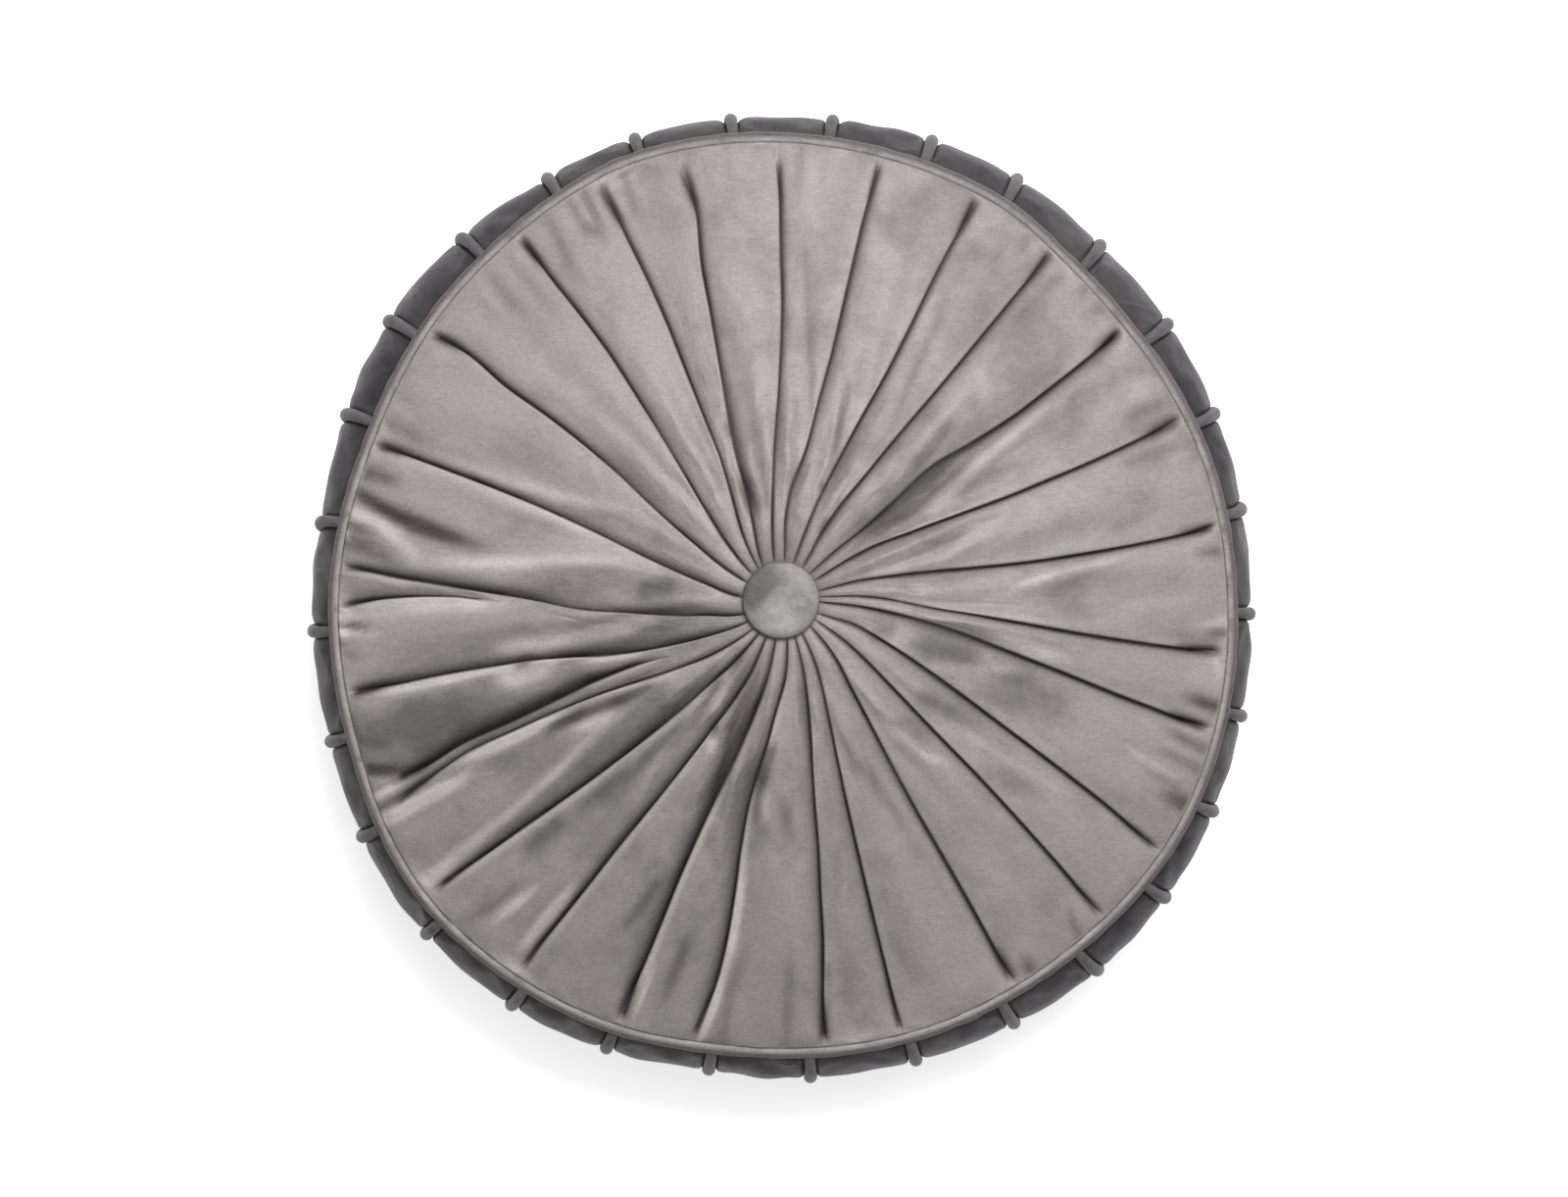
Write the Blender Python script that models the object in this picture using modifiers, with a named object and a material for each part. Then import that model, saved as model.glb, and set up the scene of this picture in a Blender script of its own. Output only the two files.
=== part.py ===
"""Round floor cushion in velvet: a pleated face drawn in under one covered button, a deep puffed side wall
crossed by upright piped ribs, and a piped welt round the top and the bottom seam.

Units are metres and +Z is up. The cushion lies on its plain back, and the origin is under the button.
Angles are in degrees, counter-clockwise from +X, seen from above.
"""

import math
from typing import NamedTuple

import bmesh
import bpy
from mathutils import Vector

# ---- Driving dimensions ----
SEAM_RADIUS = 0.2862  # mean radius of both welts, at the middle of their cord
WALL_RADIUS = 0.3057  # mean radius of the side wall where it is widest
WELT_RADIUS = 0.0041  # piped cord round both seams
RIB_RADIUS = 0.0043  # piped cord up the side wall
TOP_WELT_HEIGHT = 0.1145
BOTTOM_WELT_HEIGHT = 0.0145
CROWN_RISE = 0.0135  # how far the face stands above its seam
CROWN_FALL = 5  # the higher, the flatter the middle of the face
TUFT_DEPTH = 0.021  # how far the button draws the face in
TUFT_SPREAD = 0.030
BUTTON_RADIUS = 0.0247
GAP = 0.0003  # between pieces that touch

# ---- Worked out from them ----
MID_HEIGHT = (TOP_WELT_HEIGHT + BOTTOM_WELT_HEIGHT) / 2
WALL_HALF_HEIGHT = (TOP_WELT_HEIGHT - BOTTOM_WELT_HEIGHT) / 2 - 0.005
NOTCH_RADIUS = WELT_RADIUS + GAP + 0.0005  # the hollow that each welt lies in
FACE_START = 0.0205  # where the face goes flat, hidden by the button
SEAT_HEIGHT = TOP_WELT_HEIGHT + CROWN_RISE - TUFT_DEPTH * math.exp((BUTTON_RADIUS - FACE_START) / TUFT_SPREAD)
FOOT_RADIUS = 0.232  # the flat of the back that rests on the floor

# The three outlines, every 10 degrees: how far each stands outside (+) or inside (-) its mean radius, in mm.
OUTLINE_STEP = 10
OUTLINES = {
    "top_seam": (-2, -3, -4, -6, -7.5, -5.5, 0, 1.5, 3, 5, 6.5, 7, 3, -1, -3.5, -6.5, -8, -6.5,
                 -4.5, -3.5, -1.5, 3.5, 7, 6.5, 5, 3, -0.5, -1, 0, 1, 1, 1.5, 3, 4, 2.5, 0.5),
    "wall": (-7, -6.5, -5, -3, -1.5, -0.5, 2.5, 3, 2.5, 1.5, 3, 3, 2, 2.5, 3, -0.5, -5, -8,
             -7, -6, -3.5, 1.5, 5, 5, 4.5, 1, -2.5, -1, -0.5, 1, 3, 5.5, 5, 3, -1.5, -4),
    "bottom_seam": (-3, -1, 1, 3, 5, 7, 12, 17, 21, 23, 25, 24, 18, 10, 4, 0, -2, -3,
                    -4, -5, -6, -7, -8, -8.5, -9, -9.5, -10, -10, -9.5, -9, -8, -7, -6, -5, -4.5, -4),
}

STATIONS = (0.027, 0.061, 0.092, 0.122, 0.183, 0.245)


class Pleat(NamedTuple):
    """A fold of the face. Its upper layer lies to its counter-clockwise side."""

    angles: tuple  # of the fold at each of the station radii
    last_angle: float  # at its outer end
    starts: float  # radius, mm
    ends: float  # radius, mm
    sink: float  # how wide the face sinks on its clockwise side, mm


PLEATS = (
    # 27 mm        61     92     122    183    245    last  starts ends sink
    Pleat((16.5, 15.5, 12.4, 10.5, 9.5, 9.4), 10.0, 0, 275, 7),
    Pleat((33.0, 30.8, 28.2, 26.2, 24.9, 24.5), 24.8, 0, 265, 6),
    Pleat((44.5, 41.4, 42.1, 42.0, 39.4, 39.0), 38.8, 0, 267, 14),
    Pleat((61.5, 58.5, 56.8, 55.6, 53.8, 52.8), 52.6, 0, 269, 6),
    Pleat((72.0, 70.0, 68.4, 66.8, 65.4, 64.7), 64.4, 0, 274, 6),
    Pleat((87.5, 85.6, 81.6, 80.0, 78.6, 78.2), 77.6, 0, 275, 6),
    Pleat((101.5, 96.2, 93.6, 91.8, 90.6, 90.6), 90.6, 0, 282, 6),
    Pleat((116.5, 109.8, 108.0, 106.6, 104.6, 102.5), 103.0, 0, 274, 7),
    Pleat((123.5, 117.4, 114.7, 113.8, 113.3, 113.6), 113.8, 0, 276, 6),
    Pleat((135.2, 131.2, 128.6, 126.7, 125.6, 126.0), 126.2, 0, 277, 7),
    Pleat((155.2, 148.8, 145.0, 143.6, 142.6, 143.0), 143.2, 0, 268, 8),
    Pleat((176.5, 166.6, 163.0, 160.8, 159.6, 159.8), 160.2, 0, 263, 8),
    Pleat((201.5, 189.8, 184.6, 181.2, 178.4, 176.7), 176.4, 0, 270, 9),
    Pleat((206.0, 195.5, 189.0, 184.6, 180.0, 180.8), 183.0, 160, 272, 5),
    Pleat((211.6, 204.8, 200.0, 196.0, 193.2, 193.0), 192.4, 0, 269, 10),
    Pleat((218.0, 210.0, 205.2, 204.6, 204.7, 205.7), 206.2, 80, 274, 13),
    Pleat((224.0, 216.0, 211.0, 207.6, 206.5, 207.6), 208.2, 0, 205, 5),
    Pleat((235.0, 229.6, 227.4, 225.8, 223.0, 221.0), 220.2, 0, 277, 12),
    Pleat((250.0, 245.4, 242.4, 239.8, 237.6, 236.0), 235.4, 0, 275, 6),
    Pleat((264.4, 255.8, 254.2, 252.6, 250.5, 250.2), 249.6, 0, 277, 12),
    Pleat((279.0, 268.4, 264.4, 261.7, 261.8, 260.5), 258.0, 0, 272, 7),
    Pleat((292.0, 285.0, 282.0, 280.3, 278.6, 277.0), 276.4, 0, 275, 7),
    Pleat((302.0, 295.2, 291.8, 289.8, 287.8, 286.4), 286.0, 0, 276, 6),
    Pleat((319.0, 310.6, 307.0, 305.2, 303.2, 302.4), 301.6, 0, 275, 6),
    Pleat((331.0, 325.6, 322.6, 320.8, 318.5, 316.8), 316.0, 0, 275, 7),
    Pleat((343.5, 338.2, 335.2, 333.4, 330.4, 328.6), 327.0, 0, 278, 7),
    Pleat((356.5, 354.2, 351.6, 349.8, 346.5, 344.4), 343.8, 0, 274, 8),
    Pleat((364.5, 359.6, 357.7, 356.2, 354.4, 354.0), 353.8, 0, 268, 7),
)
PLEAT_DEPTH = 0.0045  # how deep the fold's valley is
LIP_HEIGHT = 0.0016  # how far its upper layer stands proud
LIP_WIDTH = 0.0022
LIP_SPREAD = 0.018
PLEAT_PUFF = 0.0014  # crown of the cloth between two pleats
PLEAT_RUN_OUT = 0.030  # the length over which a pleat dies away at either end
FULL_GAP = 0.016  # pleats closer together than this are shallower

# The ribs of the side wall: the angle at the top seam, and how far each has strayed at its foot.
RIBS = (
    (10.8, 1.2), (23.0, 0.8), (35.3, 0.6), (47.7, 0.8), (60.5, 0.5), (71.8, 0.0), (84.0, -0.4), (95.9, 0.3),
    (107.6, 0.0), (118.8, 0.6), (131.0, 1.4), (144.1, 1.3), (156.5, 1.2), (170.0, 1.6), (184.0, -0.6),
    (197.6, -0.5), (209.7, -0.8), (223.4, -0.4), (236.6, -0.7), (248.8, -0.3), (261.3, -0.2), (273.6, -0.2),
    (286.3, 0.1), (298.7, 0.4), (310.1, 1.2), (321.9, 1.0), (333.7, 0.8), (345.8, 0.2), (358.4, -0.3),
)
RIB_DIP = 0.0035  # the wall is drawn in under each rib
RIB_DIP_ANGLE = 2.4
RIB_END = 0.8  # where a rib stops, as a share of its last stretch towards the welt
WALL_PUFF = 0.0028  # and bulges between two ribs

# ---- How finely each solid is divided ----
WALL_COLUMNS = (0.0, 0.17, 0.385, 0.615, 0.83)  # shares of the way from one rib to the next
COLUMNS = len(WALL_COLUMNS) * len(RIBS)
PLEAT_LIP_COLUMN, PLEAT_LAST_COLUMN = 0.12, 0.93  # shares of the way from one pleat to the next
FACE_ROWS = (0, 0.03, 0.075, 0.135, 0.21, 0.30, 0.41, 0.52, 0.63, 0.74, 0.84, 0.92)
NOTCH_TURNS = (180, 225, 270, 300)  # round a welt's cord, from the panel to the wall
WALL_TURNS = (14, 40, 65, 90, 115, 140, 166)  # from straight up, at 0, to straight down
BACK_ROWS = ((0.265, 0.0062), (0.248, 0.0018), (FOOT_RADIUS, 0.0), (0.12, 0.0))
WELT_POINTS = 72
BUTTON_STEPS = 28


def lerp(a, b, share):
    return a + (b - a) * share


def smooth_step(share):
    share = min(1.0, max(0.0, share))
    return share * share * (3 - 2 * share)


def hermite(y0, y1, slope0, slope1, share):
    """Cubic between two values, with the slopes taken per unit of share."""
    s2, s3 = share * share, share ** 3
    return (y0 * (2 * s3 - 3 * s2 + 1) + slope0 * (s3 - 2 * s2 + share)
            + y1 * (3 * s2 - 2 * s3) + slope1 * (s3 - s2))


def through(xs, ys, x):
    """A smooth curve through the points (xs, ys), level beyond both ends."""
    if x <= xs[0]:
        return ys[0]
    if x >= xs[-1]:
        return ys[-1]
    i = next(i for i in range(len(xs) - 1) if x < xs[i + 1])
    width = xs[i + 1] - xs[i]

    def slope(at):
        if at in (0, len(xs) - 1):
            return 0.0
        return (ys[at + 1] - ys[at - 1]) / (xs[at + 1] - xs[at - 1])

    return hermite(ys[i], ys[i + 1], slope(i) * width, slope(i + 1) * width, (x - xs[i]) / width)


def outline(name, angle):
    """Offset from the mean radius of one of the outlines, in metres."""
    table = OUTLINES[name]
    place = (angle % 360) / OUTLINE_STEP
    i = int(place)
    before, here, after, beyond = (table[(i + k) % len(table)] for k in (-1, 0, 1, 2))
    return hermite(here, after, (after - before) / 2, (beyond - here) / 2, place - i) / 1000


def polar(radius, angle, height):
    turn = math.radians(angle)
    return Vector((radius * math.cos(turn), radius * math.sin(turn), height))


# ---- The face ----
def pleat_angle(index, radius):
    """Angle of a pleat's fold at a radius. Indices past the table go round again."""
    laps, row = divmod(index, len(PLEATS))
    pleat = PLEATS[row]
    reach = pleat.ends / 1000
    stations = [s for s in STATIONS if s < reach - 0.004]
    angles = pleat.angles[: len(stations)]
    return 360 * laps + through([*stations, reach], [*angles, pleat.last_angle], radius)


def pleat_strength(index, radius):
    """From 0 to 1, how fully a pleat is formed at a radius."""
    pleat = PLEATS[index % len(PLEATS)]
    begun = smooth_step((radius - pleat.starts / 1000) / PLEAT_RUN_OUT) if pleat.starts else 1.0
    return begun * smooth_step((pleat.ends / 1000 - radius) / PLEAT_RUN_OUT + 0.15)


def pleat_height(index, share, radius, gap_angle):
    """Height of the folds at a share of the way from one pleat to the next, against the smooth crown."""
    gap = math.radians(gap_angle) * radius
    lip_width = min(LIP_WIDTH, 0.12 * gap)
    sink = min(PLEATS[(index + 1) % len(PLEATS)].sink / 1000, 0.32 * gap)
    crowding = min(1.0, gap / FULL_GAP)
    beyond_fold, before_next = share * gap, (1 - share) * gap
    valley = math.exp(-((beyond_fold / lip_width) ** 2))
    lip = LIP_HEIGHT * math.exp(-beyond_fold / LIP_SPREAD) * (1 - valley) - PLEAT_DEPTH * valley
    slope = -PLEAT_DEPTH * math.exp(-((before_next / sink) ** 2))
    return (pleat_strength(index, radius) * lip * crowding
            + pleat_strength(index + 1, radius) * slope * crowding
            + PLEAT_PUFF * crowding * math.sin(math.pi * share))


def crown(radius, edge_radius):
    """Height of the face without its pleats."""
    dome = CROWN_RISE * (1 - (radius / edge_radius) ** CROWN_FALL)
    return TOP_WELT_HEIGHT + dome - TUFT_DEPTH * math.exp((BUTTON_RADIUS - radius) / TUFT_SPREAD)


def share_out(widths, total, least):
    """Shares a whole number of columns among widths, at least so many each."""
    counts = [least] * len(widths)
    while sum(counts) < total:
        counts[max(range(len(widths)), key=lambda i: widths[i] / counts[i])] += 1
    return counts


def face_columns():
    """(pleat, share of the way to the next one) of each column of the face."""
    seam = SEAM_RADIUS - NOTCH_RADIUS
    gaps = [pleat_angle(i + 1, seam) - pleat_angle(i, seam) for i in range(len(PLEATS))]
    columns = []
    for pleat, count in enumerate(share_out(gaps, COLUMNS, 3)):
        columns += [(pleat, 0.0), (pleat, PLEAT_LIP_COLUMN)]
        for k in range(1, count - 1):
            columns.append((pleat, lerp(PLEAT_LIP_COLUMN, PLEAT_LAST_COLUMN, k / (count - 2))))
    return columns


def face_point(column, share):
    """A point of the face, on one column, at a share of the way from the button to the seam."""
    pleat, across = column

    def angle_at(radius):
        return lerp(pleat_angle(pleat, radius), pleat_angle(pleat + 1, radius), across)

    edge = SEAM_RADIUS + outline("top_seam", angle_at(SEAM_RADIUS)) - NOTCH_RADIUS
    radius = lerp(FACE_START, edge, share)
    gap_angle = pleat_angle(pleat + 1, radius) - pleat_angle(pleat, radius)
    folds = pleat_height(pleat, across, radius, gap_angle)
    under_button = smooth_step((radius - FACE_START) / 0.008)
    to_seam = smooth_step((edge - radius) / 0.012)
    return polar(radius, angle_at(radius), crown(radius, edge) + folds * under_button * to_seam)


# ---- The side wall ----
def rib_angle(index, share):
    """Angle of a rib at a share of the way from the top seam to the bottom one."""
    laps, row = divmod(index, len(RIBS))
    top, lean = RIBS[row]
    return 360 * laps + top + lean * share


def wall_columns(first):
    """(rib, share of the way to the next one) of each column of the wall, from a given column on."""
    steps = [divmod(first + i, len(WALL_COLUMNS)) for i in range(COLUMNS)]
    return [(rib, WALL_COLUMNS[place]) for rib, place in steps]


def wall_angle(column, share):
    rib, across = column
    return lerp(rib_angle(rib, share), rib_angle(rib + 1, share), across)


def nearest_rib(angle, share):
    """How many degrees an angle is from the nearest rib at that height."""
    return min(abs((angle - rib_angle(i, share) + 180) % 360 - 180) for i in range(len(RIBS)))


def turn_share(turn):
    """How far down the wall a turn is, from 0 at the top seam to 1 at the bottom one."""
    return (1 - math.cos(math.radians(turn))) / 2


def wall_section(angle, turn):
    """(radius, height) of the side wall, at a turn from 0 at the top seam to 180 at the bottom one."""
    phase = math.radians(turn)
    seam = SEAM_RADIUS + outline("top_seam" if turn < 90 else "bottom_seam", angle)
    off = nearest_rib(angle, turn_share(turn))
    puff = WALL_PUFF * math.sin(math.pi / 2 * off / (180 / len(RIBS)))
    dip = RIB_DIP * math.exp(-((off / RIB_DIP_ANGLE) ** 2))
    widest = WALL_RADIUS + outline("wall", angle) + puff - dip
    return lerp(seam, widest, math.sin(phase)), MID_HEIGHT + WALL_HALF_HEIGHT * math.cos(phase)


def notch_point(seam_name, angle, turn):
    """(radius, height) of the hollow that a welt lies in, at a turn round the welt's cord."""
    height, up = (TOP_WELT_HEIGHT, 1) if seam_name == "top_seam" else (BOTTOM_WELT_HEIGHT, -1)
    phase = math.radians(turn)
    seam = SEAM_RADIUS + outline(seam_name, angle)
    return seam + NOTCH_RADIUS * math.cos(phase), height + up * NOTCH_RADIUS * math.sin(phase)


def notch_rings(seam_name, panel_angles, wall_angles):
    """Rings of points along a welt's hollow, from the panel to the wall."""
    rings = []
    for step, turn in enumerate(NOTCH_TURNS):
        share = step / (len(NOTCH_TURNS) - 1)
        angles = [lerp(panel, wall, share) for panel, wall in zip(panel_angles, wall_angles)]
        ring = []
        for angle in angles:
            radius, height = notch_point(seam_name, angle, turn)
            ring.append(polar(radius, angle, height))
        rings.append(ring)
    return rings


# ---- Objects ----
def material(name, colour, roughness):
    made = bpy.data.materials.new(name)
    made.use_nodes = True
    shader = made.node_tree.nodes["Principled BSDF"]
    shader.inputs["Base Color"].default_value = (*colour, 1.0)
    shader.inputs["Roughness"].default_value = roughness
    shader.inputs["Metallic"].default_value = 0.0
    return made


def add_object(name, data, finish, parent):
    made = bpy.data.objects.new(name, data)
    made.data.materials.append(finish)
    made.parent = parent
    parent.users_collection[0].objects.link(made)
    return made


def lofted_mesh(name, rings, first_pole, last_pole):
    """A closed mesh through rings of points, closed by a pole at each end."""
    shape = bmesh.new()
    loops = [[shape.verts.new(point) for point in ring] for ring in rings]
    for upper, lower in zip(loops, loops[1:]):
        for i, vertex in enumerate(upper):
            j = (i + 1) % len(upper)
            shape.faces.new((vertex, lower[i], lower[j], upper[j]))
    for loop, pole, outward in ((loops[0], first_pole, False), (loops[-1], last_pole, True)):
        centre = shape.verts.new(pole)
        for i, vertex in enumerate(loop):
            following = loop[(i + 1) % len(loop)]
            shape.faces.new((centre, following, vertex) if outward else (centre, vertex, following))
    mesh = bpy.data.meshes.new(name)
    shape.to_mesh(mesh)
    shape.free()
    mesh.shade_smooth()
    return mesh


def best_start(face_angles):
    """The wall column to start from, so that the wall's columns meet the face's with the least skew."""
    def skew(first):
        return sum(abs((wall_angle(c, 0) - a + 180) % 360 - 180)
                   for c, a in zip(wall_columns(first), face_angles))
    return min(range(-2 * len(WALL_COLUMNS), 2 * len(WALL_COLUMNS)), key=skew)


def build_cushion(parent, finish):
    """The filled cover: pleated face, puffed wall and plain back, as one solid."""
    columns = face_columns()
    rings = [[face_point(column, share) for column in columns] for share in FACE_ROWS]
    seam = SEAM_RADIUS - NOTCH_RADIUS
    face_angles = [lerp(pleat_angle(p, seam), pleat_angle(p + 1, seam), across) for p, across in columns]
    walls = wall_columns(best_start(face_angles))

    rings += notch_rings("top_seam", face_angles, [wall_angle(c, 0) for c in walls])
    for turn in WALL_TURNS:
        ring = []
        for column in walls:
            angle = wall_angle(column, turn_share(turn))
            radius, height = wall_section(angle, turn)
            ring.append(polar(radius, angle, height))
        rings.append(ring)
    foot_angles = [wall_angle(c, 1) for c in walls]
    rings += notch_rings("bottom_seam", foot_angles, foot_angles)[::-1]
    for radius, height in BACK_ROWS:
        stray = smooth_step((radius - FOOT_RADIUS) / (SEAM_RADIUS - FOOT_RADIUS))
        rings.append([polar(radius + stray * outline("bottom_seam", a), a, height) for a in foot_angles])

    mesh = lofted_mesh("cushion", rings, Vector((0, 0, SEAT_HEIGHT)), Vector((0, 0, 0)))
    return add_object("cushion", mesh, finish, parent)


def tube(name, points, radius, closed, finish, parent):
    """A piped cord along points, as a bevelled curve."""
    data = bpy.data.curves.new(name, "CURVE")
    data.dimensions = "3D"
    data.bevel_depth = radius
    data.bevel_resolution = 2
    data.use_fill_caps = not closed
    spline = data.splines.new("POLY")
    spline.points.add(len(points) - 1)
    for point, place in zip(spline.points, points):
        point.co = (*place, 1.0)
    spline.use_cyclic_u = closed
    spline.use_smooth = True
    return add_object(name, data, finish, parent)


def build_welt(name, seam_name, height, finish, parent):
    points = []
    for i in range(WELT_POINTS):
        angle = 360 * i / WELT_POINTS
        points.append(polar(SEAM_RADIUS + outline(seam_name, angle), angle, height))
    return tube(name, points, WELT_RADIUS, True, finish, parent)


def rib_rows(index):
    """The wall under a rib, from welt to welt: (radius, height, angle) of each row."""
    first, last = rib_angle(index, 0), rib_angle(index, 1)
    rows = [(*notch_point("top_seam", first, NOTCH_TURNS[-1]), first)]
    for turn in WALL_TURNS:
        angle = rib_angle(index, turn_share(turn))
        rows.append((*wall_section(angle, turn), angle))
    return rows + [(*notch_point("bottom_seam", last, NOTCH_TURNS[-1]), last)]


def lifted(rows, lift):
    """Rows set off square to the wall, so that the cord lies at one distance from every stretch of it."""
    outward = [Vector((z0 - z1, r1 - r0)).normalized() for (r0, z0, _), (r1, z1, _) in zip(rows, rows[1:])]
    points = []
    for before, after, (radius, height, angle) in zip([outward[0], *outward], [*outward, outward[-1]], rows):
        mitre = (before + after).normalized()
        off = mitre * (lift / mitre.dot(after))
        points.append((radius + off.x, height + off.y, angle))
    return points


def build_rib(index, finish, parent):
    """An upright rib, lying in the wall's dip. Its ends stop short of the welts, face to face."""
    points = lifted(rib_rows(index), RIB_RADIUS + 2 * GAP)
    for end, inner in ((0, 1), (-1, -2)):
        points[end] = [lerp(a, b, RIB_END) for a, b in zip(points[inner], points[end])]
    places = [polar(radius, angle, height) for radius, height, angle in points]
    return tube(f"rib_{index + 1:02d}", places, RIB_RADIUS, False, finish, parent)


def build_button(finish, parent):
    """The covered button: a domed disc turned about the axis, on the drawn-in middle of the face."""
    base = SEAT_HEIGHT + GAP
    profile = ((0.0, 0.0138), (0.0060, 0.0135), (0.0120, 0.0128), (0.0190, 0.0112), (0.0238, 0.0088),
               (BUTTON_RADIUS, 0.0064), (0.0240, 0.0044), (0.0195, 0.0), (0.0, 0.0))
    mesh = bpy.data.meshes.new("button")
    mesh.from_pydata([(radius, 0, base + height) for radius, height in profile],
                     [(i, i + 1) for i in range(len(profile) - 1)], [])
    button = add_object("button", mesh, finish, parent)
    turned = button.modifiers.new("Turned", "SCREW")
    turned.angle = math.tau
    turned.steps = turned.render_steps = BUTTON_STEPS
    turned.use_merge_vertices = True
    turned.merge_threshold = 0.0001
    turned.use_smooth_shade = True
    return button


def main():
    for old in list(bpy.data.objects):
        bpy.data.objects.remove(old, do_unlink=True)
    group = bpy.data.collections.new("Round floor cushion")
    bpy.context.scene.collection.children.link(group)
    frame = bpy.data.objects.new("cushion_frame", None)
    group.objects.link(frame)

    face_velvet = material("face_velvet", (0.34, 0.33, 0.32), 0.75)
    wall_piping = material("wall_piping", (0.16, 0.155, 0.16), 0.8)
    seam_piping = material("seam_piping", (0.28, 0.27, 0.26), 0.78)
    button_velvet = material("button_velvet", (0.30, 0.29, 0.285), 0.75)

    build_cushion(frame, face_velvet)
    build_welt("top_welt", "top_seam", TOP_WELT_HEIGHT, seam_piping, frame)
    build_welt("bottom_welt", "bottom_seam", BOTTOM_WELT_HEIGHT, seam_piping, frame)
    for index in range(len(RIBS)):
        build_rib(index, wall_piping, frame)
    build_button(button_velvet, frame)


main()
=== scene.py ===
"""Round floor cushion in grey velvet, dressed and set on a pale studio floor.

The cover is one filled skin: a face pleated in under a covered button, a puffed side wall crossed by upright piped
ribs, and a plain back. Two piped welts lie in its seams. Units are metres, +Z is up, and angles are in degrees,
counter-clockwise from +X, seen from above.
"""

import logging
import math
from dataclasses import dataclass
from enum import Enum
from typing import Callable, NamedTuple, Sequence

import bpy
import numpy as np
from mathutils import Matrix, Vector


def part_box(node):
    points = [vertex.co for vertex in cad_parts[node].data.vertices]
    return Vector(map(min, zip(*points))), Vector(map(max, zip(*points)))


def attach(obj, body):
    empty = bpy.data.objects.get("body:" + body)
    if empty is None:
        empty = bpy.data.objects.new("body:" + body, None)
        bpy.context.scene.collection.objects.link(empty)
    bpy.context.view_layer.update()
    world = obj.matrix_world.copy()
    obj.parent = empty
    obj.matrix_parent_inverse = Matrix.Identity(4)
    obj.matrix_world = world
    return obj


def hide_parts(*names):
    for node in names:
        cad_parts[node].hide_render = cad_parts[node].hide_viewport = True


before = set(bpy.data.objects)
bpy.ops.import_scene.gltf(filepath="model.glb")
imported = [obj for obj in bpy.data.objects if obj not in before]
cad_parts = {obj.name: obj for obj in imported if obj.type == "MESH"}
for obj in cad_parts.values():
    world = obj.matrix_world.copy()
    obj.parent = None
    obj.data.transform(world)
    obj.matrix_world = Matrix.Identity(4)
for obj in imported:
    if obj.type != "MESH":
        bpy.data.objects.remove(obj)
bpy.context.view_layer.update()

LOG = logging.getLogger("floor_cushion")
BODY = "root"
Array = np.ndarray
Pair = tuple[float, float]
Triple = tuple[float, float, float]
Numbers = tuple[float, ...]
Columns = list[tuple[int, float]]  # for each column of a grid its fold or rib, and its place past that
WHITE = (1.0, 1.0, 1.0, 1.0)
NEAR = 10  # the places of the near columns are counted from here
CLOTH_SCALE = 10  # of a metre along the cloth, as the finishes read it
MARKS = ("crevice", "side", "tone")  # what a finish reads at each point of a piece


class Seam(Enum):
    """The closed outlines that the cover follows."""

    TOP = "top seam"
    WALL = "wall"
    BOTTOM = "bottom seam"


class Fold(NamedTuple):
    """A pleat of the face. Its upper layer lies to its counter-clockwise side."""

    angles: Numbers  # of the fold at each of the station radii
    last_angle: float  # at its outer end
    starts: float  # radius, mm
    ends: float  # radius, mm
    sink: float  # how wide the face sinks on its clockwise side, mm
    inner_sink: float  # the same near the button, as a share of the distance to the fold before
    swollen: float  # how far its outer end opens into a dimple
    shadow: float  # how much darker than most its clockwise side lies
    lip: float  # how far its upper layer's edge stands up, and how bright a highlight is painted along it


class Crease(NamedTuple):
    """A smaller dent of the face, or with a negative depth a ridge, along a line through three places."""

    angles: Triple
    radii: Triple  # mm, rising
    width: float  # mm
    depth: float  # mm
    shade: float | None = None  # how dark shade is painted in it, or None for what its depth makes it


class PileAndLight(NamedTuple):
    """A stretch of the face, through three places, painted lighter or, with a tone below 0, darker.

    Some are brushed pile; many are painted highlights on ridges and lips, and painted shade beside folds.
    """

    angles: Triple
    radii: Triple  # mm, rising
    width: float  # mm
    tone: float


# ---- Small shared sums ----
def lerp(a: Array | float, b: Array | float, share: Array | float) -> Array | float:
    """Return the value at a share of the way from a to b."""
    return a + (b - a) * share


def smooth_step(share: Array | float) -> Array | float:
    """Return a share from 0 to 1 with both its ends eased."""
    share = np.clip(share, 0.0, 1.0)
    return share * share * (3 - 2 * share)


def ramp(value: Array | float, start: float, end: float) -> Array | float:
    """Return 0 up to the start, 1 from the end on, and an eased share between them. The end may be the lower one."""
    return smooth_step((value - start) / (end - start))


def bell(value: Array | float, width: Array | float, power: float = 2.0) -> Array | float:
    """Return 1 where the value is 0, falling away on both sides, to about a third at the width."""
    return np.exp(-((np.abs(value) / width) ** power))


def hermite(y0: Array, y1: Array, slope0: Array, slope1: Array, share: Array) -> Array:
    """Return a cubic between two values, with the slopes taken per unit of share."""
    s2, s3 = share * share, share**3
    return y0 * (2 * s3 - 3 * s2 + 1) + slope0 * (s3 - 2 * s2 + share) + y1 * (3 * s2 - 2 * s3) + slope1 * (s3 - s2)


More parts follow.
